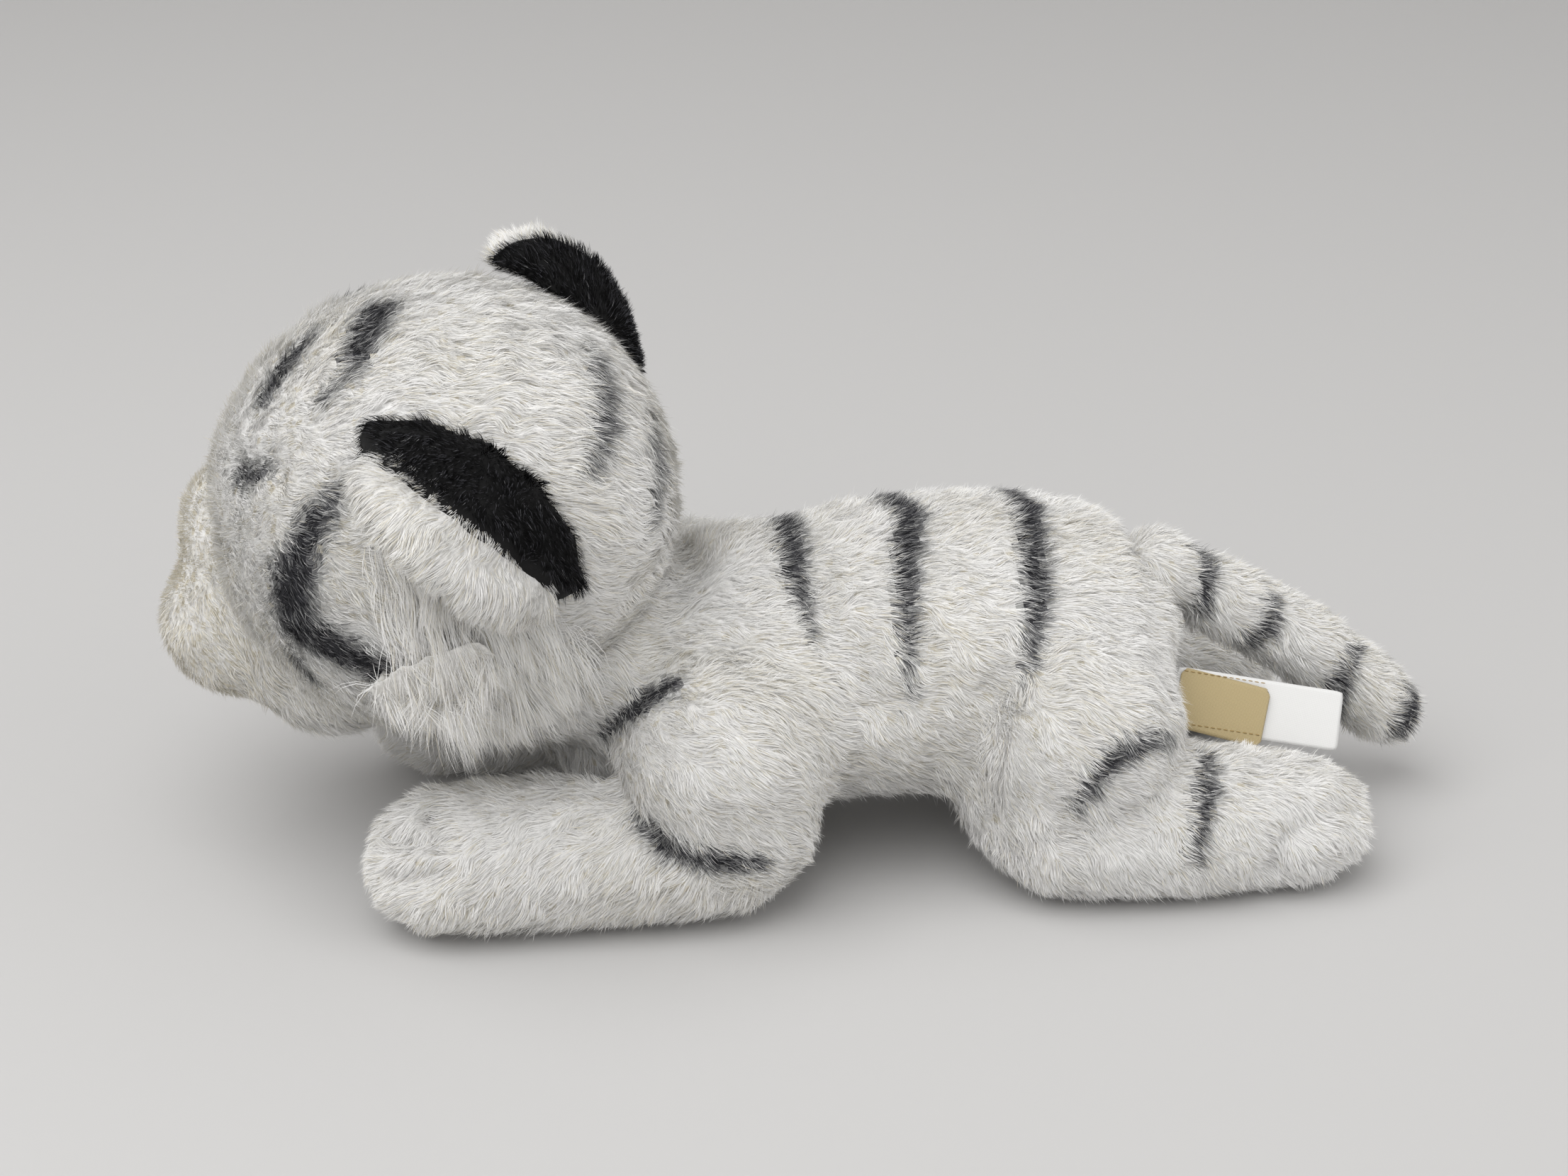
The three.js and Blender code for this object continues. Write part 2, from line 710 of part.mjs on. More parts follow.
// A half-round outline through which the cupped shell is cut
function earOutline(inset, proud) {
  const shape = new THREE.Shape();
  const halfWidth = ear.width / 2 - inset;
  const height = ear.height + proud;
  shape.moveTo(-halfWidth, -ear.height);
  shape.lineTo(halfWidth, -ear.height);
  shape.lineTo(halfWidth, 0);
  shape.absellipse(0, 0, halfWidth, height, 0, Math.PI, false);
  const geometry = new THREE.ExtrudeGeometry(shape, {
    depth: beyond, bevelEnabled: false, curveSegments: gussetSteps,
  });
  return solid(geometry, new THREE.Matrix4().makeTranslation(0, 0, -beyond / 2));
}

function makeEar(word, left) {
  const matrix = earMatrix(left);
  const pivot = new THREE.Vector3().setFromMatrixPosition(matrix);
  const axis = new THREE.Vector3().setFromMatrixColumn(matrix, 0);
  const clear = keepout(headBallForm(false), seamGap, pivot, axis, -ear.bend, ear.bend);
  const centre = new THREE.Vector3(0, 0, ear.cup);
  const dome = (radius) => ball(radius, centre, false, earSides);
  const shell = (radius, cloth) => dome(radius).subtract(dome(radius - cloth));
  const nearHalf = side(new THREE.Vector3(0, 0, -1), centre);
  const back = shell(ear.cup, ear.backCloth).intersect(earOutline(0, 0));
  const inner = ear.cup - ear.backCloth - seamGap;
  const front = shell(inner, ear.frontCloth).intersect(earOutline(ear.frontInset, ear.frontProud));
  const finish = (shape) => (
    inHead(shape.intersect(nearHalf).transform(matrix.elements).subtract(clear)));
  return [
    piece(`ear_${word}_back`, finish(back), fur.black),
    piece(`ear_${word}_front`, finish(front), fur.white),
  ];
}

// A pad of long cheek fur below each ear, kept clear of the foreleg under it
function ruffShape(left) {
  const { width, thickness, top, hang, back } = ruff;
  const out = legSide(left) * (head.ball - thickness * ruffSunkShare);
  const form = bag({
    spine: [
      new THREE.Vector3(back, out * ruffLeanShare, top),
      new THREE.Vector3(back, out, -(hang - top) / 2),
      new THREE.Vector3(back, out, -hang),
    ],
    widths: ruffWidthShares.map((share) => share * thickness),
    heights: ruffWidthShares.map((share) => share * width),
    rings: limbRings,
    sides: limbSides,
    startCap: thickness,
    endCap: thickness,
    across: sideways,
  });
  return solid(form);
}

// Putting the toy together

function makeTiger() {
  const clear = bodyClearForm();
  const { gold, care } = makeLabels();
  const trunk = makeBody(gold.add(care));
  const limbs = [
    ['foreleg_left', foreleg, true], ['foreleg_right', foreleg, false],
    ['hindleg_left', hindleg, true], ['hindleg_right', hindleg, false],
  ].map(([name, leg, left]) => makeLeg(name, leg, left, clear));
  const ruffs = [true, false].map((left) => {
    const root = legRoot(foreleg, left);
    const swing = legSwing(foreleg, left);
    const below = keepout(shankForm(foreleg, left, true), ruff.overLeg, root, upward, ...swing);
    const toHead = headMatrix.clone().invert();
    return ruffShape(left).subtract(below.transform(toHead.elements));
  });
  const group = new THREE.Group();
  const headNodes = makeHead(ruffs).map(([name, shape, color]) => (
    piece(name, inHead(shape), color, name.startsWith('eye') ? eyeRoughness : undefined)));
  group.add(...trunk, makeNeckPanel(), ...headNodes);
  group.add(...makeEar('left', true), ...makeEar('right', false));
  for (const limb of limbs) group.add(...limb);
  group.add(...makeTail(clear));
  group.add(piece('gold_label', gold, fur.gold), piece('care_label', care, fur.white));
  return group;
}

// The origin lies under the middle of the toy, on the ground
function standOnGround(group) {
  const box = new THREE.Box3().setFromObject(group);
  const middle = box.getCenter(new THREE.Vector3());
  group.position.set(-middle.x, -middle.y, -box.min.z);
  return group;
}

const tiger = standOnGround(makeTiger());

export default tiger;
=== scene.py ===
"""Looks of a plush tiger cub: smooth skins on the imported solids, with strands of fur on them.

Sizes are metres unless a name says otherwise. The toy faces -X, its left side is -Y and +Z is up.
"""

import json
import math

import bmesh
import bpy
import numpy as np
from mathutils import Matrix, Vector
from mathutils.bvhtree import BVHTree
from mathutils.kdtree import KDTree


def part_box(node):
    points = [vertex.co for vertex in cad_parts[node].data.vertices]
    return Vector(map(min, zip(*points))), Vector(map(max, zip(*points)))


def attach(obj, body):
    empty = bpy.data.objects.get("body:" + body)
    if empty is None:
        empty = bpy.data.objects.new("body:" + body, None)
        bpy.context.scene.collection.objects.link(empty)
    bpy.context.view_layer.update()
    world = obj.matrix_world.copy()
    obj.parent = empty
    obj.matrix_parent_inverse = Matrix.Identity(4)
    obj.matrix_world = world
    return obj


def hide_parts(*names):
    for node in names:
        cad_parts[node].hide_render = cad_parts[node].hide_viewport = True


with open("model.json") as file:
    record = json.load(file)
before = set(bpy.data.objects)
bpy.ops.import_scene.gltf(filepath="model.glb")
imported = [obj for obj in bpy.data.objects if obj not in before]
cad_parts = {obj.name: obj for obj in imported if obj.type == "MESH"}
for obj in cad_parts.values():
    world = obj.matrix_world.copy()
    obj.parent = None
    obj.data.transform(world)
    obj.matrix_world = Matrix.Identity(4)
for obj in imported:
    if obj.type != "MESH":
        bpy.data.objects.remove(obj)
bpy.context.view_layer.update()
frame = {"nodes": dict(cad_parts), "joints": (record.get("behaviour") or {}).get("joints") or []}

MM = 0.001
SEED = 20
UP = np.array([0.0, 0.0, 1.0])

# The photograph, measured at this width in pixels, and the camera that took it
PHOTO_WIDTH = 2000
PHOTO_HEIGHT = 1500
CAMERA_AZIMUTH = 7  # degrees round from straight at the toy's left side
CAMERA_ELEVATION = 25
CAMERA_DISTANCE = 650 * MM
AIM_FROM_TAIL = np.array([-94.0, 0.0, -0.3]) * MM
LENS = 60.4  # millimetres, on a 36 mm wide sensor
SENSOR = 36

joints = {joint["name"]: joint for joint in frame["joints"]}


def joint_place(name):
    return np.array(joints[name]["pos_m"], float)


def joint_axis(name):
    axis = np.array(joints[name]["axis"], float)
    return axis / np.linalg.norm(axis)


HEAD_CENTRE = joint_place("neck_nod")
HEAD_UP = joint_axis("neck_turn")
HEAD_SIDE = np.cross(HEAD_UP, np.cross(joint_axis("neck_nod"), HEAD_UP))  # to the toy's right
HEAD_SIDE /= np.linalg.norm(HEAD_SIDE)
HEAD_BACK = np.cross(HEAD_SIDE, HEAD_UP)
BODY_MIDDLE = joint_place("tail_lift")
AIM = BODY_MIDDLE + AIM_FROM_TAIL

# Fur tones, from bare white to black, as linear colours
TONES = {
    "white": (0.865, 0.86, 0.85),
    "warm_white": (0.83, 0.82, 0.79),
    "cream": (0.72, 0.68, 0.58),
    "pale_grey": (0.50, 0.50, 0.49),
    "grey": (0.24, 0.24, 0.245),
    "charcoal": (0.055, 0.055, 0.062),
    "black": (0.003, 0.003, 0.0033),
}
TONE_NAMES = list(TONES)


def tone(name):
    return TONE_NAMES.index(name)


# Vector help


def unit(vectors):
    length = np.linalg.norm(vectors, axis=-1, keepdims=True)
    return vectors / np.maximum(length, 1e-9)


def tangent(vectors, normals):
    return unit(vectors - normals * np.sum(vectors * normals, axis=-1, keepdims=True))


def mixed(a, b, share):
    return a + (b - a) * share


def wavy(points, size, seed):
    """A smooth field from -1 to 1 that changes over about the given size."""
    rng = np.random.default_rng(seed)
    total = np.zeros(len(points))
    for _ in range(6):
        way = unit(rng.normal(size=3)) * rng.uniform(0.7, 1.5) * 2 * math.pi / size
        total += np.sin(points @ way + rng.uniform(0, 2 * math.pi))
    return np.clip(total / 3, -1, 1)


# Materials


def material(name, color, roughness=0.9, sheen=0.0, coat=0.0):
    made = bpy.data.materials.new(name)
    made.use_nodes = True
    shader = made.node_tree.nodes["Principled BSDF"]
    shader.inputs["Base Color"].default_value = (*color, 1)
    shader.inputs["Roughness"].default_value = roughness
    shader.inputs["Sheen Weight"].default_value = sheen
    shader.inputs["Coat Weight"].default_value = coat
    return made


def speckled(made, other, scale, bump, distance):
    """Varies a material's colour with noise and gives it a fine relief."""
    nodes = made.node_tree.nodes
    links = made.node_tree.links
    shader = nodes["Principled BSDF"]
    place = nodes.new("ShaderNodeTexCoord")
    noise = nodes.new("ShaderNodeTexNoise")
    noise.inputs["Scale"].default_value = scale
    noise.inputs["Detail"].default_value = 4
    ramp = nodes.new("ShaderNodeValToRGB")
    ramp.color_ramp.elements[0].position = 0.35
    ramp.color_ramp.elements[0].color = (*other, 1)
    ramp.color_ramp.elements[1].position = 0.65
    ramp.color_ramp.elements[1].color = shader.inputs["Base Color"].default_value
    relief = nodes.new("ShaderNodeBump")
    relief.inputs["Strength"].default_value = bump
    relief.inputs["Distance"].default_value = distance
    links.new(place.outputs["Object"], noise.inputs["Vector"])
    links.new(noise.outputs["Fac"], ramp.inputs["Fac"])
    links.new(ramp.outputs["Color"], shader.inputs["Base Color"])
    links.new(noise.outputs["Fac"], relief.inputs["Height"])
    links.new(relief.outputs["Normal"], shader.inputs["Normal"])
    return made


def darker(color, share):
    return tuple(share * value for value in color)


fur_materials = [material(f"fur_{name}", color, 0.85) for name, color in TONES.items()]
for one in fur_materials:
    one.node_tree.nodes["Principled BSDF"].inputs["Specular IOR Level"].default_value = 0.12
backing_materials = [
    speckled(material(f"backing_{name}", color, 1.0), darker(color, 0.8), 900, 0.4, 0.4 * MM)
    for name, color in TONES.items()
]

# Meshes


def linked(name, data):
    """A new object in the scene."""
    made = bpy.data.objects.new(name, data)
    bpy.context.scene.collection.objects.link(made)
    return made


def mesh_object(name, vertices, faces, materials, smooth=True):
    mesh = bpy.data.meshes.new(name)
    mesh.from_pydata([tuple(v) for v in vertices], [], [tuple(f) for f in faces])
    mesh.update()
    mesh.polygons.foreach_set("use_smooth", [smooth] * len(mesh.polygons))
    for one in materials:
        mesh.materials.append(one)
    return linked(name, mesh)


def largest_island(mesh):
    """Keeps the biggest connected part of a mesh."""
    work = bmesh.new()
    work.from_mesh(mesh)
    waiting = set(work.verts)
    best = set()
    while waiting:
        found = {waiting.pop()}
        edge = list(found)
        while edge:
            vertex = edge.pop()
            for link in vertex.link_edges:
                other = link.other_vert(vertex)
                if other in waiting:
                    waiting.discard(other)
                    found.add(other)
                    edge.append(other)
        if len(found) > len(best):
            best = found
    bmesh.ops.delete(work, geom=[v for v in work.verts if v not in best], context="VERTS")
    work.to_mesh(mesh)
    work.free()


def skin_from(name, nodes, inset, voxel=2 * MM, smoothing=6, balls=()):
    """A smooth closed skin over some CAD solids and balls, set in from their surface."""
    source = bmesh.new()
    for node in nodes:
        source.from_mesh(frame["nodes"][node].data)
    for centre, radius in balls:
        bmesh.ops.create_uvsphere(source, u_segments=32, v_segments=16, radius=radius,
                                  matrix=Matrix.Translation(Vector(centre)))
    mesh = bpy.data.meshes.new(name)
    source.to_mesh(mesh)
    source.free()
    made = linked(name, mesh)
    remesh = made.modifiers.new("remesh", "REMESH")
    remesh.mode = "VOXEL"
    remesh.voxel_size = voxel
    relax = made.modifiers.new("relax", "SMOOTH")
    relax.factor = 0.5
    relax.iterations = smoothing
    graph = bpy.context.evaluated_depsgraph_get()
    finished = bpy.data.meshes.new_from_object(made.evaluated_get(graph))
    made.modifiers.clear()
    made.data = finished
    largest_island(finished)
    _, _, normals = surface_of(made)
    move_points(made, -inset * normals)
    finished.polygons.foreach_set("use_smooth", [True] * len(finished.polygons))
    return made


def surface_of(made):
    """Vertices, triangles and vertex normals of an object as arrays."""
    mesh = made.data
    mesh.calc_loop_triangles()
    vertices = np.empty(len(mesh.vertices) * 3)
    mesh.vertices.foreach_get("co", vertices)
    triangles = np.empty(len(mesh.loop_triangles) * 3, int)
    mesh.loop_triangles.foreach_get("vertices", triangles)
    normals = np.empty(len(mesh.vertices) * 3)
    mesh.vertices.foreach_get("normal", normals)
    return vertices.reshape(-1, 3), triangles.reshape(-1, 3), normals.reshape(-1, 3)


def move_points(made, moves):
    vertices, _, _ = surface_of(made)
    made.data.vertices.foreach_set("co", (vertices + moves).ravel())
    made.data.update()


def tree_of(made):
    vertices, triangles, _ = surface_of(made)
    return BVHTree.FromPolygons(vertices.tolist(), triangles.tolist())


def depth_inside(tree, points):
    """How far each point lies under a closed surface; negative outside it."""
    depths = np.empty(len(points))
    for i, point in enumerate(points):
        place, normal, _, distance = tree.find_nearest(Vector(point))
        outside = (Vector(point) - place).dot(normal) > 0
        depths[i] = -distance if outside else distance
    return depths


# The camera, and lines that are measured on the photograph


def camera_axes():
    azimuth = math.radians(CAMERA_AZIMUTH)
    elevation = math.radians(CAMERA_ELEVATION)
    right = np.array([math.cos(azimuth), -math.sin(azimuth), 0.0])
    level = np.array([math.sin(azimuth), math.cos(azimuth), 0.0])
    forward = level * math.cos(elevation) - UP * math.sin(elevation)
    return right, np.cross(right, forward), forward


def add_camera():
    right, above, forward = camera_axes()
    data = bpy.data.cameras.new("camera")
    data.lens = LENS
    data.sensor_width = SENSOR
    made = linked("camera", data)
    turn = Matrix([right, above, -forward]).transposed().to_4x4()
    made.matrix_world = Matrix.Translation(Vector(AIM - forward * CAMERA_DISTANCE)) @ turn
    bpy.context.scene.camera = made


def photo_ray(x, y):
    """Start and direction of the camera's ray through a photograph pixel."""
    right, above, forward = camera_axes()
    focal = LENS / SENSOR * PHOTO_WIDTH
    way = forward + right * (x - PHOTO_WIDTH / 2) / focal - above * (y - PHOTO_HEIGHT / 2) / focal
    return AIM - forward * CAMERA_DISTANCE, unit(way)


def on_mid_plane(x, y):
    """Where a photograph pixel's ray crosses the head's own middle plane."""
    start, way = photo_ray(x, y)
    return start + way * (((HEAD_CENTRE - start) @ HEAD_SIDE) / (way @ HEAD_SIDE))


PIXEL = CAMERA_DISTANCE * SENSOR / LENS / PHOTO_WIDTH  # size of a photograph pixel at the toy


def first_hit(trees, start, way):
    """The nearest point at which a ray meets any of the skins, as a distance along it."""
    hits = [tree.ray_cast(Vector(start), Vector(way))[3] for tree in trees]
    return min((hit for hit in hits if hit is not None), default=None)


def on_skin(trees, line, step=20):
    """Casts a line of photograph pixels (x, y, width) onto skins: points and half widths.

    A pixel beside the skins takes the depth of the nearest pixel that meets them.
    """
    marks = np.array(line, float)
    found = []
    for a, b in zip(marks[:-1], marks[1:]):
        count = max(1, int(np.hypot(*(b - a)[:2]) / step))
        found.extend(mixed(a, b, i / count) for i in range(count))
    found.append(marks[-1])
    rays = [photo_ray(x, y) for x, y, _ in found]
    depths = [first_hit(trees, start, way) for start, way in rays]
    met = [i for i, depth in enumerate(depths) if depth is not None]
    if not met:
        raise ValueError(f"no pixel of {line} meets a skin")
    points = []
    for i, (start, way) in enumerate(rays):
        depth = depths[min(met, key=lambda k: abs(k - i))]
        points.append(start + way * depth)
    return np.array(points), np.array(found)[:, 2] * PIXEL / 2


def mirrored(points, centre, across):
    away = (points - centre) @ across
    return points - 2 * away[:, None] * across


def closeness(points, lines, soft):
    """1 in the middle of any line, falling to 0 over a soft border past its half width."""
    best = np.zeros(len(points))
    for marks, halves in lines:
        for a, b, wide_a, wide_b in zip(marks[:-1], marks[1:], halves[:-1], halves[1:]):
            run = b - a
            along = np.clip((points - a) @ run / max(run @ run, 1e-12), 0, 1)
            away = np.linalg.norm(points - a - along[:, None] * run, axis=1)
            wide = mixed(wide_a, wide_b, along)
            best = np.maximum(best, np.clip((wide - away) / soft + 0.5, 0, 1))
    return best


# Stripes of the near side, as x, y and width in photograph pixels
CROWN_STRIPES = [
    [(486, 366, 26), (476, 400, 50), (456, 448, 40), (446, 476, 14)],
    [(432, 486, 12), (410, 514, 8)],
    [(756, 448, 14), (768, 500, 28), (764, 556, 26), (748, 596, 12)],
    [(828, 532, 10), (838, 596, 20), (826, 664, 10)],
]
HEAD_STRIPES = [
    [(396, 428, 14), (366, 464, 38), (338, 508, 24)],
    [(424, 630, 20), (394, 676, 40), (370, 740, 60), (376, 796, 64), (430, 828, 54), (476, 850, 48),
     (498, 884, 28)],
    [(376, 834, 14), (400, 868, 10)],
    [(306, 604, 18), (322, 608, 28), (342, 598, 14)],
]
BODY_STRIPES = [
    [(1000, 650, 34), (1004, 700, 32), (1014, 760, 24), (1030, 812, 8)],
    [(1156, 624, 36), (1152, 700, 32), (1153, 790, 22), (1158, 890, 5)],
    [(1296, 616, 34), (1312, 680, 34), (1318, 760, 28), (1308, 864, 8)],
    [(856, 874, 24), (812, 900, 30), (764, 934, 12)],
    [(816, 1040, 12), (856, 1076, 26), (910, 1096, 32), (968, 1100, 20)],
    [(1490, 938, 12), (1424, 956, 32), (1386, 1004, 20), (1370, 1034, 8)],
    [(1534, 944, 10), (1534, 1010, 24), (1522, 1094, 16)],
]
TAIL_STRIPES = [
    [(1524, 684, 14), (1536, 722, 26), (1530, 772, 22)],
    [(1618, 764, 16), (1612, 796, 26), (1574, 834, 18)],
    [(1722, 828, 18), (1706, 862, 28), (1698, 904, 22)],
    [(1796, 886, 34), (1790, 914, 44), (1784, 942, 30)],
]

# Folds of the near side: points in photograph pixels, depth and half width in millimetres
BODY_FOLDS = [
    ([(1026, 750), (1053, 795), (1085, 850), (1103, 895)], 3.5, 7),
    ([(886, 668), (868, 740), (830, 792), (765, 842), (700, 900)], 7, 5.5),
    ([(1262, 890), (1246, 950), (1250, 1010)], 3.5, 7),
    ([(930, 830), (985, 850)], 1.8, 5),
    ([(700, 956), (745, 966), (787, 992)], 3.5, 5),
]
FORELEG_FOLDS = [
    ([(550, 1030), (556, 1052), (564, 1074)], 3.8, 4),
    ([(488, 1062), (520, 1070), (552, 1062)], 4.2, 4),
    ([(494, 1118), (530, 1122), (560, 1112)], 3.6, 4),
    ([(800, 1010), (840, 1050), (860, 1080)], 2, 5),
]
HINDLEG_FOLDS = [
    ([(1620, 1110), (1640, 1060), (1690, 1040), (1750, 1030)], 2.5, 4),
]
HEAD_FOLDS = [
    ([(296, 596), (330, 590), (352, 596)], 2.2, 4),
    ([(268, 668), (300, 700), (322, 740), (340, 800), (352, 876)], 0.9, 7),
]

# Skins


LEGS = ["foreleg_left", "foreleg_right", "hindleg_left", "hindleg_right"]
PILE = 2 * MM  # how far the backing lies under the fur's tips
# Shoulders and haunches that cover the legs: how far back and down from the joint, and radius
ROOT_BALLS = {
    "foreleg": [(0, 0, 27), (1, 17, 24.5)],
    "hindleg": [(0, 0, 29), (-3, 14, 26.5)],
}
NECK_BALL = 40 * MM  # radius of the nape, behind and under the head's centre
NECK_BACK = 15 * MM
NECK_DOWN = 24 * MM
MUZZLE_LIFT = 3 * MM
MUZZLE_PULL = 2 * MM
MUZZLE_START = 38 * MM  # ahead of the head's centre
MUZZLE_RUN = 22 * MM
NECK_SHRINK = 0.75  # the neck cloth lies inside the fur of the head and torso
# x and y in photograph pixels, radius in millimetres
SNOUT_BALLS = [(362, 780, 25), (344, 712, 24), (316, 680, 19), (404, 710, 27), (420, 800, 28)]

torso_skin = skin_from(
    "torso_backing",
    ["body_left_panel", "body_right_panel", "belly_gusset", "body_stuffing", "pellet_pouch"],
    PILE,
    smoothing=30,
    balls=[
        (joint_place(f"{leg}_swing") + np.array([back, 0, -down]) * MM, radius * MM)
        for leg in LEGS
        for back, down, radius in ROOT_BALLS[leg.split("_")[0]]
    ]
    + [(HEAD_CENTRE + HEAD_BACK * NECK_BACK - HEAD_UP * NECK_DOWN, NECK_BALL)],
)
head_skin = skin_from(
    "head_backing",
    ["head_left_panel", "head_right_panel", "crown_gusset", "muzzle_panel", "chin_panel",
     "head_stuffing"],
    PILE,
    smoothing=20,
    balls=[(on_mid_plane(x, y), radius * MM) for x, y, radius in SNOUT_BALLS],
)
leg_skins = {
    leg: skin_from(
        f"{leg}_backing", [f"{leg}_outer_panel", f"{leg}_inner_panel", f"{leg}_stuffing"], PILE
    )
    for leg in LEGS
}
tail_skin = skin_from(
    "tail_backing", ["tail_left_panel", "tail_right_panel", "tail_stuffing"], PILE
)
# How far the white cloth is set forward. The photograph shows more of it on the left ear
EAR_PROUD = {"left": 2.2 * MM, "right": 0.9 * MM}
RUFF_INSET = 5.6 * MM  # the long fur makes up the rest of the cheek pad
RUFF_SUNK = 2.5 * MM  # how far the pad is moved towards the head


def centre_of(node):
    low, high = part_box(node)
    return np.array((low + high) / 2)


# How far each cloth of an ear is plumped, and how often it is smoothed
EAR_LAYERS = {"back": (-0.9 * MM, 5), "front": (-2.2 * MM, 5)}
ear_skins = {
    (word, layer): skin_from(
        f"ear_{word}_{layer}_cloth", [f"ear_{word}_{layer}"], inset, 1 * MM, smoothing
    )
    for word in ("left", "right")
    for layer, (inset, smoothing) in EAR_LAYERS.items()
}
for word in ("left", "right"):
    inward = unit(centre_of(f"ear_{word}_front") - centre_of(f"ear_{word}_back"))
    move_points(ear_skins[word, "front"], EAR_PROUD[word] * inward)
ruff_skins = {
    word: skin_from(f"cheek_{word}_backing", [f"cheek_ruff_{word}"], RUFF_INSET, 1.2 * MM, 10)
    for word in ("left", "right")
}
neck_skin = skin_from("neck_backing", ["neck_panel"], 0.0, 1 * MM, 2)

neck_points, _, _ = surface_of(neck_skin)
move_points(neck_skin, (NECK_SHRINK - 1) * (neck_points - neck_points.mean(axis=0)))

SIDEWAYS = np.array([0.0, 1.0, 0.0])
NEAR_LEGS = ["foreleg_left", "hindleg_left"]


def both_sides(lines, skins, centre, across):
    """Lines cast onto the near side and mirrored to the far side. They meet at the middle."""
    found = []
    near_trees = [tree_of(skin) for skin in skins]
    for line in lines:
        marks, halves = on_skin(near_trees, line)
        beyond = np.maximum((marks - centre) @ across, 0)
        marks = marks - beyond[:, None] * across
        found += [(marks, halves), (mirrored(marks, centre, across), halves)]
    return found


def fold(made, lines, others, centre, across):
    """Dents a skin along lines of photograph pixels, on both sides."""
    vertices, _, normals = surface_of(made)
    moves = np.zeros(len(vertices))
    for line, depth, half_width in lines:
        with_width = [(x, y, 0) for x, y in line]
        for marks, _ in both_sides([with_width], [made, *others], centre, across):
            away = distance_to(vertices, marks)
            moves = np.maximum(moves, depth * MM * np.exp(-((away / (half_width * MM)) ** 2)))
    move_points(made, -normals * moves[:, None])


def distance_to(points, marks):
    """Distance of each point from a line of marks."""
    best = np.full(len(points), np.inf)
    for a, b in zip(marks[:-1], marks[1:]):
        run = b - a
        along = np.clip((points - a) @ run / max(run @ run, 1e-12), 0, 1)
        best = np.minimum(best, np.linalg.norm(points - a - along[:, None] * run, axis=1))
    return best


def muzzle_lift(points):
    """How far the soft muzzle is pushed up, growing towards its tip."""
    ahead = -((points - HEAD_CENTRE) @ HEAD_BACK)
    share = np.clip((ahead - MUZZLE_START) / MUZZLE_RUN, 0, 1)
    share = share * share * (3 - 2 * share)
    return (HEAD_UP * MUZZLE_LIFT + HEAD_BACK * MUZZLE_PULL) * share[..., None]


move_points(head_skin, muzzle_lift(surface_of(head_skin)[0]))

near_legs = [leg_skins[leg] for leg in NEAR_LEGS]
fold(torso_skin, BODY_FOLDS, [], BODY_MIDDLE, SIDEWAYS)
fold(head_skin, HEAD_FOLDS, [], HEAD_CENTRE, HEAD_SIDE)
for leg in LEGS:
    near_skin = leg_skins[leg.replace("right", "left")]
    fold(leg_skins[leg], FORELEG_FOLDS if "fore" in leg else HINDLEG_FOLDS, [near_skin],
         BODY_MIDDLE, SIDEWAYS)

for made in ruff_skins.values():
    points, _, _ = surface_of(made)
    move_points(made, RUFF_SUNK * unit(HEAD_CENTRE - points.mean(axis=0)))

trees = {
    "torso": tree_of(torso_skin),
    "head": tree_of(head_skin),
    "tail": tree_of(tail_skin),
    **{leg: tree_of(leg_skins[leg]) for leg in LEGS},
}

body_stripes = both_sides(BODY_STRIPES, [torso_skin, *near_legs], BODY_MIDDLE, SIDEWAYS)
stripes = {
    "torso": body_stripes,
    "foreleg": body_stripes,
    "hindleg": body_stripes,
    "head": both_sides(HEAD_STRIPES, [head_skin], HEAD_CENTRE, HEAD_SIDE)
    + [on_skin([tree_of(head_skin)], line) for line in CROWN_STRIPES],
    "tail": both_sides(TAIL_STRIPES, [tail_skin], BODY_MIDDLE, SIDEWAYS),
}

# Colour of the fur at a point: a tone number for each point

SOFT_EDGE = {"head": 6.5 * MM, "torso": 4 * MM}  # how far a stripe fades out
STRIPE_TONES = ["white", "pale_grey", "grey", "charcoal", "black"]


def white_tones(points, rng):
    """Bare white mixed strand by strand with warmer whites, in soft patches."""
    warmth = 0.35 + 0.25 * wavy(points, 45 * MM, SEED + 50)
    pick = rng.random(len(points))
    return np.where(pick < 0.25 * warmth, tone("cream"),
                    np.where(pick < warmth, tone("warm_white"), tone("white")))


def stripe_tones(points, part, rng, rough=0.22):
    """Tones that darken through grey to charcoal inside the stripes, mixed strand by strand."""
    soft = SOFT_EDGE.get(part, SOFT_EDGE["torso"])
    ragged = 0.7 * MM * rng.normal(0, 1, (len(points), 3))
    dark = closeness(points + ragged, stripes[part], soft)
    dark = dark + rng.normal(0, rough, len(points)) * (dark > 0.02)
    tones = white_tones(points, rng)
    for limit, name in zip((0.3, 0.5, 0.75, 1.2), STRIPE_TONES[1:]):
        tones = np.where(dark > limit, tone(name), tones)
    return tones


def paint_skin(made, tones_at):
    """Gives each face of a skin the tone of the fur that grows on it."""
    mesh = made.data
    centres = np.empty(len(mesh.polygons) * 3)
    mesh.polygons.foreach_get("center", centres)
    mesh.materials.clear()
    for one in backing_materials:
        mesh.materials.append(one)
    mesh.polygons.foreach_set("material_index", tones_at(centres.reshape(-1, 3)).astype(np.int32))
    mesh.update()


# Fur


RIBBON_SHARES = {2: (1.0, 0.75), 3: (1.0, 0.85, 0.55)}  # width at the start of each segment
DENSITY = 4.2  # strands on each square millimetre


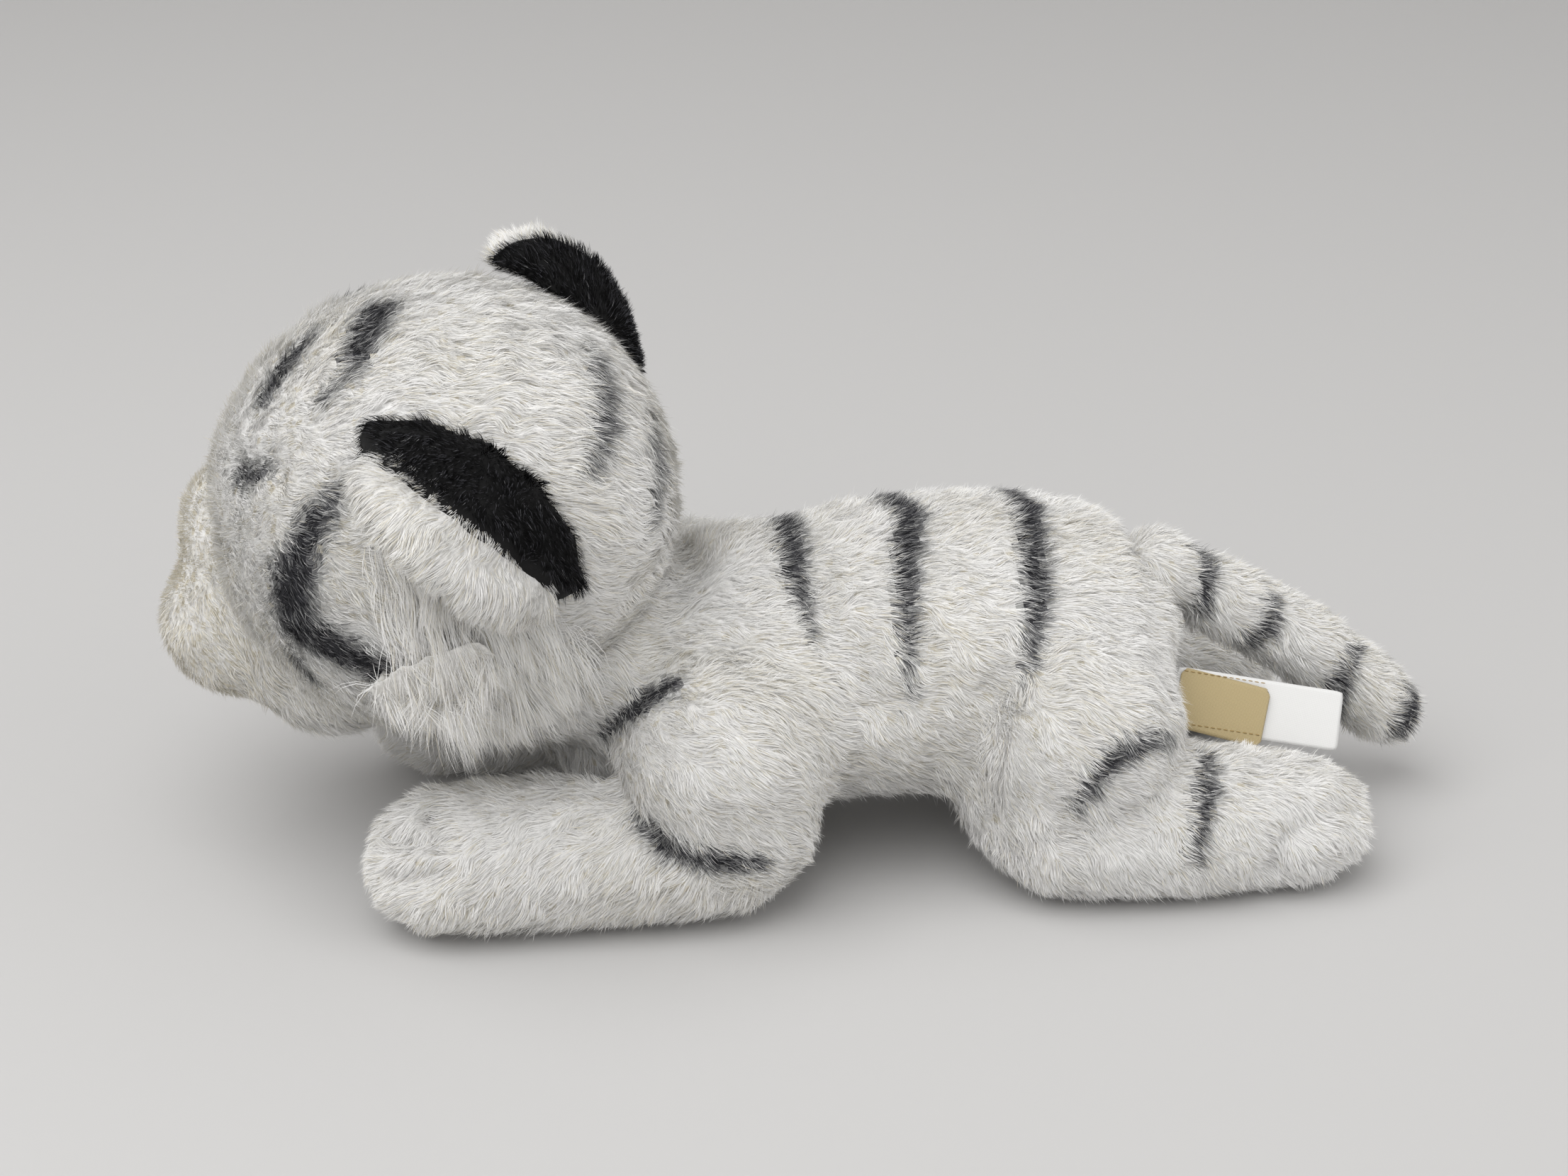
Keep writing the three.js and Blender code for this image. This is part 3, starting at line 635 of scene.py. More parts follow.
def scatter(made, per_square_mm, rng):
    """Points spread evenly over a skin, with their normals."""
    vertices, triangles, normals = surface_of(made)
    corners = vertices[triangles]
    areas = np.linalg.norm(
        np.cross(corners[:, 1] - corners[:, 0], corners[:, 2] - corners[:, 0]), axis=1
    ) / 2
    count = int(areas.sum() / MM**2 * per_square_mm)
    picked = rng.choice(len(triangles), count, p=areas / areas.sum())
    u, v = rng.random((2, count))
    over = u + v > 1
    u, v = np.where(over, 1 - u, u), np.where(over, 1 - v, v)
    weights = np.stack([1 - u - v, u, v], axis=1)[:, :, None]
    points = (corners[picked] * weights).sum(axis=1)
    return points, unit((normals[triangles[picked]] * weights).sum(axis=1))


def tuft_of(points, spacing, rng):
    """Which tuft each strand belongs to, and where that tuft's middle is."""
    count = max(8, int(len(points) * spacing))
    centres = rng.choice(len(points), count, replace=False)
    tree = KDTree(count)
    for i, centre in enumerate(centres):
        tree.insert(points[centre], i)
    tree.balance()
    nearest = np.array([tree.find(point)[1] for point in points])
    return nearest, centres


def grow(name, roots, normals, flow, lengths, lift, tones, rng, width=0.17 * MM, tuft_share=0.05,
         clump=0.25, stray=0.13, curl=0.5, segments=2, droop=0.0):
    """Makes strands of fur as tapering ribbons. Each leans from its normal towards the flow."""
    count = len(roots)
    brushed = np.stack([wavy(roots, 11 * MM, SEED + 30 + axis) for axis in range(3)], axis=1)
    flow = tangent(flow + 0.5 * brushed, normals)
    tuft, centres = tuft_of(roots, tuft_share, rng)
    tuft_lean = rng.normal(0, stray, (len(centres), 3))[tuft]
    tuft_size = rng.uniform(0.9, 1.08, len(centres))[tuft]
    own_lean = rng.normal(0, stray * 0.6, (count, 3))
    lifted = normals * np.sin(lift)[:, None] + flow * np.cos(lift)[:, None]
    way = unit(lifted + tuft_lean + own_lean)
    below = np.sum(way * normals, axis=1)
    way = unit(way + normals * np.maximum(0.15 - below, 0)[:, None])
    lengths = lengths * tuft_size * rng.uniform(0.7, 1.15, count)
    tips = roots + unit(way - droop * UP) * lengths[:, None]
    tuft_tips = tips[centres][tuft]
    tips = mixed(tips, tuft_tips, clump * rng.uniform(0.5, 1, count)[:, None])
    bends = roots + unit(way + normals * curl) * lengths[:, None] * 0.5
    side = unit(np.cross(tips - roots, normals) + 1e-9)
    turn = rng.normal(0, 0.3, count)[:, None]
    side = unit(side * np.cos(turn) + normals * np.sin(turn)) * (width / 2)
    side *= rng.uniform(0.7, 1.3, count)[:, None]
    vertices = np.empty((count, 2 * segments + 1, 3))
    for row, share in enumerate(RIBBON_SHARES[segments]):
        t = row / segments
        middle = roots * (1 - t) ** 2 + bends * 2 * t * (1 - t) + tips * t**2
        vertices[:, 2 * row] = middle - side * share
        vertices[:, 2 * row + 1] = middle + side * share
    vertices[:, -1] = tips
    vertices[:, :, 2] = np.maximum(vertices[:, :, 2], 0.2 * MM)
    return ribbons(name, vertices, tones, rng)


def ribbons(name, vertices, tones, rng):
    """One mesh of strands. A dark strand often has a paler tip."""
    count, points = vertices.shape[:2]
    segments = points // 2
    pattern = [
        index + 2 * step for step in range(segments - 1) for index in (0, 1, 3, 2)
    ] + [points - 3, points - 2, points - 1]
    mesh = bpy.data.meshes.new(name)
    mesh.vertices.add(count * points)
    mesh.vertices.foreach_set("co", vertices.ravel())
    loops = (np.arange(count)[:, None] * points + np.array(pattern)).ravel()
    mesh.loops.add(len(loops))
    mesh.loops.foreach_set("vertex_index", loops.astype(np.int32))
    starts = (np.arange(count)[:, None] * len(pattern) + 4 * np.arange(segments)).ravel()
    mesh.polygons.add(len(starts))
    mesh.polygons.foreach_set("loop_start", starts.astype(np.int32))
    frosted = (tones > tone("pale_grey")) & (rng.random(count) < 0.3)
    faces = np.repeat(tones[:, None], segments, axis=1)
    faces[:, -1] -= frosted
    mesh.polygons.foreach_set("material_index", faces.ravel().astype(np.int32))
    mesh.polygons.foreach_set("use_smooth", np.ones(len(starts), bool))
    for one in fur_materials:
        mesh.materials.append(one)
    mesh.update(calc_edges=True)
    return linked(name, mesh)


def outside_of(roots, others, margin):
    """Which roots don't lie deep under another skin."""
    kept = np.ones(len(roots), bool)
    for other in others:
        skin = {"torso": torso_skin, "head": head_skin, "tail": tail_skin, **leg_skins}[other]
        low = np.array(skin.bound_box[0]) - margin
        high = np.array(skin.bound_box[6]) + margin
        inside = np.all((roots > low) & (roots < high), axis=1) & kept
        picked = np.flatnonzero(inside)
        depths = depth_inside(trees[other], roots[picked])
        kept[picked[depths > margin]] = False
    return kept


def rows(value, count):
    return np.broadcast_to(np.asarray(value, float), (count,)).copy()


def pile_lift(degrees, count, rng):
    """How far strands stand up from the cloth, in radians. A few loose ones stand higher."""
    return np.radians(np.where(rng.random(count) < 0.06, 58, degrees))


def torso_fur():
    rng = np.random.default_rng(SEED)
    points, normals = scatter(torso_skin, DENSITY, rng)
    kept = outside_of(points, LEGS + ["head", "tail"], 2 * MM)
    points, normals = points[kept], normals[kept]
    count = len(points)
    spread = (points[:, 1] - BODY_MIDDLE[1])[:, None] * SIDEWAYS * 8
    flow = tangent(np.array([1.0, 0, -0.45]) + spread, normals)
    lengths = 4.2 * MM * (1 + 0.15 * wavy(points, 30 * MM, SEED))
    lift = pile_lift(24, count, rng)
    tones = stripe_tones(points, "torso", rng)
    return grow("torso_fur", points, normals, flow, lengths, lift, tones, rng)


CHEEK_LINE = [(520, 710, 60), (590, 800, 150), (660, 888, 170)]  # long fur, in photograph pixels
CHEEK_SOFT = 9 * MM
EYE_LINE = 1.8 * MM  # width of the dark fur round each eye
cheek_lines = both_sides([CHEEK_LINE], [head_skin], HEAD_CENTRE, HEAD_SIDE)


def cheek_share(points):
    return closeness(points, cheek_lines, CHEEK_SOFT)


EYE_RADIUS = 6.5 * MM
EYE_DOME = 3.4 * MM
EYE_PROUD = -1.2 * MM  # the rim sits in the pile
EYE_REACH = 50 * MM  # where the ray that finds the eye's seat starts
EYE_AHEAD = 1.0  # how much an eye turns from its skin towards the front


def across_pair(way):
    """Two directions square to a given one."""
    a = unit(np.cross(way, HEAD_UP))
    return a, np.cross(way, a)


def eye_seat(word):
    """Where an eye rests on the head's skin, and the way that the skin faces there."""
    washer = centre_of(f"eye_washer_{word}")
    way = unit(centre_of(f"eye_{word}") - washer)
    tree = trees["head"]
    middle = np.array(tree.ray_cast(Vector(washer + EYE_REACH * way), Vector(-way))[0])
    a, b = across_pair(way)
    rim = [middle + EYE_RADIUS * side for side in (a, -a, b, -b)]
    near = [tree.find_nearest(Vector(point)) for point in [middle, *rim]]
    facing = unit(sum(np.array(found[1]) for found in near) + EYE_AHEAD * -HEAD_BACK)
    height = max((np.array(found[0]) - middle) @ facing for found in near)
    return middle + height * facing, facing


def hard_parts():
    """Middles of the eyes and the nose, with the radius that their fur leaves bare."""
    found = [(eye_seat(word)[0], 5.6 * MM) for word in ("left", "right")]
    return found + [(centre_of("nose") + muzzle_lift(centre_of("nose")), 5 * MM)]


def head_fur():
    rng = np.random.default_rng(SEED + 1)
    points, normals = scatter(head_skin, DENSITY, rng)
    kept = outside_of(points, ["torso"], 3 * MM)
    kept &= rng.random(len(points)) > 0.7 * cheek_share(points)
    for centre, radius in hard_parts():
        kept &= np.linalg.norm(points - centre, axis=1) > radius
    points, normals = points[kept], normals[kept]
    ahead = -((points - HEAD_CENTRE) @ HEAD_BACK)
    snout = np.clip((ahead - 40 * MM) / (20 * MM), 0, 1)
    nose_tip = HEAD_CENTRE - HEAD_BACK * 75 * MM - HEAD_UP * 12 * MM
    flow = tangent(unit(points - nose_tip) - 0.25 * HEAD_UP, normals)
    lengths = mixed(4.5 * MM, 2.8 * MM, snout) * (1 + 0.12 * wavy(points, 25 * MM, SEED))
    lift = pile_lift(24, len(points), rng) + snout * math.radians(12)
    tones = stripe_tones(points, "head", rng)
    for centre, radius in hard_parts()[:2]:
        lined = np.linalg.norm(points - centre, axis=1) < radius + EYE_LINE
        tones = np.where(lined & (rng.random(len(points)) < 0.85), tone("charcoal"), tones)
    creamy = (rng.random(len(points)) < 0.55 * snout) & (tones <= tone("warm_white"))
    tones = np.where(creamy, tone("cream"), tones)
    return grow("head_fur", points, normals, flow, lengths, lift, tones, rng)


def leg_fur(leg, number):
    rng = np.random.default_rng(SEED + 2 + number)
    made = leg_skins[leg]
    points, normals = scatter(made, DENSITY, rng)
    kept = outside_of(points, ["torso"], 3 * MM)
    kept &= ~((normals[:, 2] < -0.9) & (points[:, 2] < 4 * MM))
    points, normals = points[kept], normals[kept]
    low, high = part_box(f"{leg}_stuffing")
    root = joint_place(f"{leg}_swing")
    reach = low.x if abs(low.x - root[0]) > abs(high.x - root[0]) else high.x
    paw = np.array([reach, (low.y + high.y) / 2, low.z])
    flow = tangent(unit(paw - root) - 0.5 * UP, normals)
    lengths = 4 * MM * (1 + 0.15 * wavy(points, 25 * MM, SEED))
    lift = pile_lift(24, len(points), rng)
    tones = stripe_tones(points, leg.split("_")[0], rng)
    return grow(f"{leg}_fur", points, normals, flow, lengths, lift, tones, rng)


def tail_fur():
    rng = np.random.default_rng(SEED + 7)
    points, normals = scatter(tail_skin, DENSITY, rng)
    kept = outside_of(points, ["torso"], 3 * MM)
    points, normals = points[kept], normals[kept]
    low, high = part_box("tail_stuffing")
    way = np.array([high.x, BODY_MIDDLE[1], low.z]) - joint_place("tail_lift")
    flow = tangent(unit(way), normals)
    lengths = rows(4.2 * MM, len(points))
    lift = pile_lift(24, len(points), rng)
    tones = stripe_tones(points, "tail", rng)
    return grow("tail_fur", points, normals, flow, lengths, lift, tones, rng)


EAR_PILE = {"back": (3.4 * MM, 34), "front": (4.6 * MM, 34)}  # length and lift in degrees


def ear_fur(word, layer):
    rng = np.random.default_rng(SEED + 8 + 2 * (word == "left") + 4 * (layer == "back"))
    made = ear_skins[word, layer]
    points, normals = scatter(made, DENSITY, rng)
    pivot = joint_place(f"ear_{word}_bend")
    away = unit(centre_of(f"ear_{word}_{layer}") - pivot)
    inward = unit(centre_of(f"ear_{word}_front") - centre_of(f"ear_{word}_back"))
    faces_out = normals @ inward
    kept = faces_out > -0.15 if layer == "front" else faces_out < 0.25
    points, normals = points[kept], normals[kept]
    flow = tangent(unit(points - pivot) + away, normals)
    length, lift = EAR_PILE[layer]
    lengths = length * (1 + 0.15 * wavy(points, 9 * MM, SEED))
    tones = white_tones(points, rng)
    if layer == "back":
        tones = np.where(rng.random(len(points)) < 0.05, tone("charcoal"), tone("black"))
    cloth = tones.max() if layer == "back" else tones.min()
    paint_skin(made, lambda centres: rows(cloth, len(centres)))
    return grow(f"ear_{word}_{layer}_fur", points, normals, flow, lengths,
                rows(math.radians(lift), len(points)), tones, rng)


def cheek_roots(word, rng):
    """Roots of one cheek's long fur, on its own pad and on the head around it."""
    pad, pad_normals = scatter(ruff_skins[word], 2.4, rng)
    points, normals = scatter(head_skin, 3.4, rng)
    side = (points - HEAD_CENTRE) @ HEAD_SIDE
    on_side = side < 0 if word == "left" else side > 0
    kept = on_side & (rng.random(len(points)) < cheek_share(points))
    points = np.concatenate([pad, points[kept]])
    normals = np.concatenate([pad_normals, normals[kept]])
    kept = outside_of(points, ["torso"], 1 * MM)
    return points[kept], normals[kept]


def ruff_fur(word):
    rng = np.random.default_rng(SEED + 14 + (word == "left"))
    points, normals = cheek_roots(word, rng)
    swirl = np.stack([wavy(points, 16 * MM, SEED + 60 + axis) for axis in range(3)], axis=1)
    flow = tangent(-HEAD_UP + 0.35 * HEAD_BACK + 0.4 * swirl, normals)
    lengths = 13 * MM * (1 + 0.25 * wavy(points, 14 * MM, SEED))
    lift = math.radians(38) * (1 + 0.4 * wavy(points, 6 * MM, SEED + 3))
    tones = np.where(rng.random(len(points)) < 0.25, tone("cream"), tone("warm_white"))
    tones = np.where(rng.random(len(points)) < 0.5, tone("white"), tones)
    paint_skin(ruff_skins[word], lambda centres: rows(tone("warm_white"), len(centres)))
    return grow(f"cheek_{word}_fur", points, normals, flow, lengths, lift, tones, rng,
                width=0.15 * MM, clump=0.45, stray=0.25, tuft_share=0.03, curl=0.6, segments=3,
                droop=0.35)


def neck_fur():
    rng = np.random.default_rng(SEED + 14)
    points, normals = scatter(neck_skin, 1.0, rng)
    flow = tangent(np.array([1.0, 0, -0.3]), normals)
    # The neck's fur is cream and warm white, and its cloth cream, a shade darker than the white fur
    # round it: painted shade in the crease between head and torso.
    tones = np.where(rng.random(len(points)) < 0.5, tone("cream"), tone("warm_white"))
    paint_skin(neck_skin, lambda centres: rows(tone("cream"), len(centres)))
    return grow("neck_fur", points, normals, flow, rows(2 * MM, len(points)),
                rows(math.radians(20), len(points)), tones, rng)


def dress(body, skin, fur, nodes):
    """Puts a skin and its fur on a body, in place of CAD nodes."""
    for piece in (skin, fur):
        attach(piece, body)
    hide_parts(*nodes)


def skin_tones(name):
    rng = np.random.default_rng(SEED)
    return lambda centres: stripe_tones(centres, name, rng, 0.05)


paint_skin(torso_skin, skin_tones("torso"))
paint_skin(head_skin, skin_tones("head"))
paint_skin(tail_skin, skin_tones("tail"))
for leg in LEGS:
    paint_skin(leg_skins[leg], skin_tones(leg.split("_")[0]))

dress("torso", torso_skin, torso_fur(),
      ["body_left_panel", "body_right_panel", "belly_gusset", "body_stuffing", "pellet_pouch"])
dress("head", head_skin, head_fur(),
      ["head_left_panel", "head_right_panel", "crown_gusset", "muzzle_panel", "chin_panel",
       "head_stuffing", "eye_washer_left", "eye_washer_right"])
for number, leg in enumerate(LEGS):
    dress(leg, leg_skins[leg], leg_fur(leg, number),
          [f"{leg}_outer_panel", f"{leg}_inner_panel", f"{leg}_stuffing"])
dress("tail", tail_skin, tail_fur(), ["tail_left_panel", "tail_right_panel", "tail_stuffing"])
for word in ("left", "right"):
    for layer in EAR_LAYERS:
        dress(f"ear_{word}", ear_skins[word, layer], ear_fur(word, layer), [f"ear_{word}_{layer}"])
    dress("head", ruff_skins[word], ruff_fur(word), [f"cheek_ruff_{word}"])
dress("neck", neck_skin, neck_fur(), ["neck_panel"])

# Labels


LABEL_THICKNESS = 0.28 * MM
GOLD_DROOP = math.radians(5.5)  # how much lower the gold label hangs than the white one
LABEL_WAVE = 0.45 * MM
LABEL_GRID = (48, 16)


def woven(name, color, other, pitch, roughness, relief):
    """Cloth of crossing threads at a pitch in metres, placed by the mesh's own flat coordinates."""
    made = material(name, color, roughness, sheen=0.4)
    nodes = made.node_tree.nodes
    links = made.node_tree.links
    shader = nodes["Principled BSDF"]
    place = nodes.new("ShaderNodeTexCoord")
    threads = []
    for direction in ("X", "Y"):
        wave = nodes.new("ShaderNodeTexWave")
        wave.bands_direction = direction
        wave.inputs["Scale"].default_value = math.pi / 10 / pitch
        wave.inputs["Distortion"].default_value = 0.6
        links.new(place.outputs["UV"], wave.inputs["Vector"])
        threads.append(wave)
    crossed = nodes.new("ShaderNodeMath")
    crossed.operation = "MAXIMUM"
    links.new(threads[0].outputs["Fac"], crossed.inputs[0])
    links.new(threads[1].outputs["Fac"], crossed.inputs[1])
    ramp = nodes.new("ShaderNodeValToRGB")
    ramp.color_ramp.elements[0].position = 0.2
    ramp.color_ramp.elements[0].color = (*other, 1)
    ramp.color_ramp.elements[1].position = 0.8
    ramp.color_ramp.elements[1].color = (*color, 1)
    bump = nodes.new("ShaderNodeBump")
    bump.inputs["Strength"].default_value = relief
    bump.inputs["Distance"].default_value = 0.1 * MM
    links.new(crossed.outputs["Value"], ramp.inputs["Fac"])
    links.new(ramp.outputs["Color"], shader.inputs["Base Color"])
    links.new(crossed.outputs["Value"], bump.inputs["Height"])
    links.new(bump.outputs["Normal"], shader.inputs["Normal"])
    return made


def label_axes(node):
    """Middle, and half sizes along and directions of a flat node's length, height and thickness."""
    cloud = np.array([v.co for v in frame["nodes"][node].data.vertices])
    middle = (cloud.max(axis=0) + cloud.min(axis=0)) / 2
    _, _, ways = np.linalg.svd(cloud - cloud.mean(axis=0))
    ways[0] *= np.sign(ways[0][0])
    ways[1] *= np.sign(ways[1][2])
    ways[2] *= -np.sign(ways[2][1])
    spans = (cloud - middle) @ ways.T
    low, high = spans.min(axis=0), spans.max(axis=0)
    return middle + ways.T @ ((low + high) / 2), (high - low) / 2, ways


def label_wave(point):
    """How far a label bends out of its plane, growing away from its sewn edge."""
    along = np.linalg.norm((point - joint_place("labels_flap"))[:2])
    share = np.clip(along / (45 * MM), 0, 1)
    return LABEL_WAVE * share * math.sin(2.2 * math.pi * share + 0.4)


def label_sheet(name, node, cloth, rounding, droop):
    """A thin woven strip in place of a flat node, bent a little, with softened corners."""
    middle, half, ways = label_axes(node)
    columns, lines = LABEL_GRID
    vertices, faces, flat = [], [], []
    for side in (1, -1):
        for i in range(columns + 1):
            for j in range(lines + 1):
                u = 2 * i / columns - 1
                v = 2 * j / lines - 1
                pull = rounding * max(0, abs(u) - 0.9) / 0.1 * max(0, abs(v) - 0.8) / 0.2
                x, y = u * (half[0] - pull), v * (half[1] - pull)
                from_seam = x + half[0]
                along = from_seam * math.cos(droop) + y * math.sin(droop) - half[0]
                across = y * math.cos(droop) - from_seam * math.sin(droop)
                plain = middle + ways[0] * along + ways[1] * across
                out = label_wave(plain) + side * LABEL_THICKNESS / 2
                vertices.append(plain + ways[2] * out)
                flat.append((x, y))
    layer = (columns + 1) * (lines + 1)
    for i in range(columns):
        for j in range(lines):
            a = i * (lines + 1) + j
            quad = (a, a + lines + 1, a + lines + 2, a + 1)
            faces.append(quad)
            faces.append(tuple(layer + k for k in reversed(quad)))
    rim = [j for j in range(lines + 1)]
    rim += [i * (lines + 1) + lines for i in range(1, columns + 1)]
    rim += [columns * (lines + 1) + j for j in range(lines - 1, -1, -1)]
    rim += [i * (lines + 1) for i in range(columns - 1, 0, -1)]
    for a, b in zip(rim, rim[1:] + rim[:1]):
        faces.append((a, b, layer + b, layer + a))
    made = mesh_object(name, vertices, faces, [cloth])
    uv = made.data.uv_layers.new(name="cloth")
    for loop in made.data.loops:
        uv.data[loop.index].uv = flat[loop.vertex_index]
    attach(made, "labels")
    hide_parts(node)
    return made


def ring_faces(first, second, sides):
    """Faces between two rings of vertices, given where each starts."""
    return [(first + k, first + (k + 1) % sides, second + (k + 1) % sides, second + k)
            for k in range(sides)]


def tube(name, lines, radius, thread, sides=8):
    """Round thread along each line of points, as one mesh."""
    vertices, faces = [], []
    for line in lines:
        line = np.array(line)
        runs = unit(np.gradient(line, axis=0))
        side = unit(np.cross(runs, UP + 1e-3))
        other = np.cross(runs, side)
        start = len(vertices)
        for k, (point, a, b) in enumerate(zip(line, side, other)):
            thick = radius * (0.55 if k in (0, len(line) - 1) else 1)
            for turn in range(sides):
                angle = 2 * math.pi * turn / sides
                vertices.append(point + thick * (a * math.cos(angle) + b * math.sin(angle)))
        for k in range(len(line) - 1):
            faces += ring_faces(start + k * sides, start + (k + 1) * sides, sides)
        faces.append(tuple(start + turn for turn in reversed(range(sides))))
        last = start + (len(line) - 1) * sides
        faces.append(tuple(last + turn for turn in range(sides)))
    return mesh_object(name, vertices, faces, [thread])


def label_stitches(name, node, thread):
    """A row of small stitches along both long edges of a label."""
    middle, half, ways = label_axes(node)
    lines = []
    for edge in (-1, 1):
        y = edge * (half[1] - 1.0 * MM)
        for x in np.arange(-half[0] + 1.2 * MM, half[0] - 1.4 * MM, 1.7 * MM):
            stitch = []
            for share in np.linspace(0, 1, 5):
                plain = middle + ways[0] * (x + 1.1 * MM * share) + ways[1] * y
                rise = LABEL_THICKNESS / 2 + 0.12 * MM * math.sin(math.pi * share)
                stitch.append(plain + ways[2] * (label_wave(plain) + rise))
            lines.append(stitch)
    made = tube(name, lines, 0.13 * MM, thread, 6)
    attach(made, "labels")
    return made


gold_cloth = woven("gold_ribbon", (0.50, 0.40, 0.21), (0.36, 0.27, 0.12), 0.34 * MM, 0.45, 0.5)
care_cloth = woven("care_satin", (0.84, 0.84, 0.83), (0.70, 0.70, 0.69), 0.26 * MM, 0.4, 0.35)
gold_thread = speckled(material("gold_thread", (0.42, 0.29, 0.11), 0.6), (0.30, 0.20, 0.07),
                       3000, 0.3, 0.1 * MM)
label_sheet("care_label_cloth", "care_label", care_cloth, 0.3 * MM, 0)
label_sheet("gold_label_cloth", "gold_label", gold_cloth, 0.8 * MM, GOLD_DROOP)
label_stitches("gold_label_stitching", "gold_label", gold_thread)

# Eyes, nose and mouth


PUPIL_SHARE = 0.48
IRIS_SHARE = 0.84


def eye_button(word):
    """A domed safety eye: black pupil, ice blue iris and a dark rim."""
    seat, way = eye_seat(word)
    base = seat + way * EYE_PROUD
    a, b = across_pair(way)
    rings, sides = 18, 48
    vertices = [base + way * EYE_DOME]
    faces, bands = [], []
    for ring in range(1, rings + 1):
        share = ring / rings
        wide = EYE_RADIUS * math.sin(share * math.pi / 2)
        high = EYE_DOME * math.cos(share * math.pi / 2) if ring < rings else -0.8 * MM
        for side in range(sides):
            angle = 2 * math.pi * side / sides
            vertices.append(base + way * high + wide * (a * math.cos(angle) + b * math.sin(angle)))
        band = 0 if math.sin(share * math.pi / 2) < PUPIL_SHARE else 1
        band = 2 if math.sin(share * math.pi / 2) > IRIS_SHARE else band
        for side in range(sides):
            following = (side + 1) % sides
            inner = 1 + (ring - 2) * sides
            outer = 1 + (ring - 1) * sides
            if ring == 1:
                faces.append((0, outer + side, outer + following))
            else:
                faces.append((inner + side, outer + side, outer + following, inner + following))
            bands.append(band)
    faces.append(tuple(reversed(range(1 + (rings - 1) * sides, 1 + rings * sides))))
    bands.append(2)
    made = mesh_object(f"eye_{word}_button", vertices, faces, eye_materials)
    made.data.polygons.foreach_set("material_index", bands)
    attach(made, "head")
    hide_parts(f"eye_{word}")


def eye_plastic(name, color, other, scale):
    return speckled(material(name, color, 0.12, coat=1.0), other, scale, 0.02, 0.05 * MM)


eye_materials = [
    eye_plastic("eye_pupil", (0.008, 0.008, 0.009), (0.014, 0.014, 0.016), 300),
    eye_plastic("eye_iris", (0.16, 0.34, 0.46), (0.07, 0.19, 0.30), 900),
    eye_plastic("eye_rim", (0.012, 0.012, 0.013), (0.02, 0.02, 0.02), 300),
]

NOSE_HALF = (8.5 * MM, 5.6 * MM, 4 * MM)  # half width, half height and how far it stands out
NOSTRIL = (0.42, -0.22, 0.2, 0.32)  # place across and up, radius and depth as shares


def nose_middle():
    middle = centre_of("nose")
    return middle + muzzle_lift(middle)


def nose_pad():
    """A rounded triangle, wide above and narrow below, with two nostrils pressed in."""
    middle = nose_middle()
    rings, sides = 20, 64
    vertices, faces = [], []
    for ring in range(rings + 1):
        lean = math.pi * ring / rings
        for side in range(sides):
            angle = 2 * math.pi * side / sides
            x = math.sin(lean) * math.cos(angle)
            z = math.sin(lean) * math.sin(angle)
            y = math.cos(lean)
            narrow = 1 - 0.38 * max(0, -z) ** 1.2 + 0.06 * max(0, z)
            dent = 0
            for mirror in (-1, 1):
                away = math.hypot(x - mirror * NOSTRIL[0], z - NOSTRIL[1]) / NOSTRIL[2]
                dent += NOSTRIL[3] * math.exp(-away**2) * max(0, y)
            dent += 0.10 * math.exp(-((x / 0.09) ** 2)) * max(0, -z + 0.3) * max(0, y)
            x, z, y = x * narrow, z - 0.08 * x * x, y - dent
            vertices.append(middle + HEAD_SIDE * x * NOSE_HALF[0] + HEAD_UP * z * NOSE_HALF[1]
                            - HEAD_BACK * y * NOSE_HALF[2])
    for ring in range(rings):
        faces += ring_faces(ring * sides, (ring + 1) * sides, sides)
    pink = speckled(material("nose_flock", (0.42, 0.20, 0.18), 0.75, sheen=0.6),
                    (0.30, 0.13, 0.12), 2600, 0.5, 0.15 * MM)
    made = mesh_object("nose_pad", vertices, faces, [pink])
    work = bmesh.new()
    work.from_mesh(made.data)
    bmesh.ops.remove_doubles(work, verts=work.verts, dist=1e-6)
    bmesh.ops.recalc_face_normals(work, faces=work.faces)
    work.to_mesh(made.data)
    work.free()
    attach(made, "head")
    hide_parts("nose")


def on_face(across, up):
    """Where a line from before the face meets the skin, in millimetres from the nose."""
    start = nose_middle() + (HEAD_SIDE * across + HEAD_UP * up) * MM - HEAD_BACK * 0.1
    hit, normal, _, _ = trees["head"].ray_cast(Vector(start), Vector(HEAD_BACK))
    return np.array(hit) + np.array(normal) * 1.5 * MM


MOUTH_LINES = [
    [(0, -5), (0, -9), (0, -13)],
    [(0, -13), (4, -16.5), (9, -17.5), (14, -15.5)],
    [(0, -13), (-4, -16.5), (-9, -17.5), (-14, -15.5)],
]


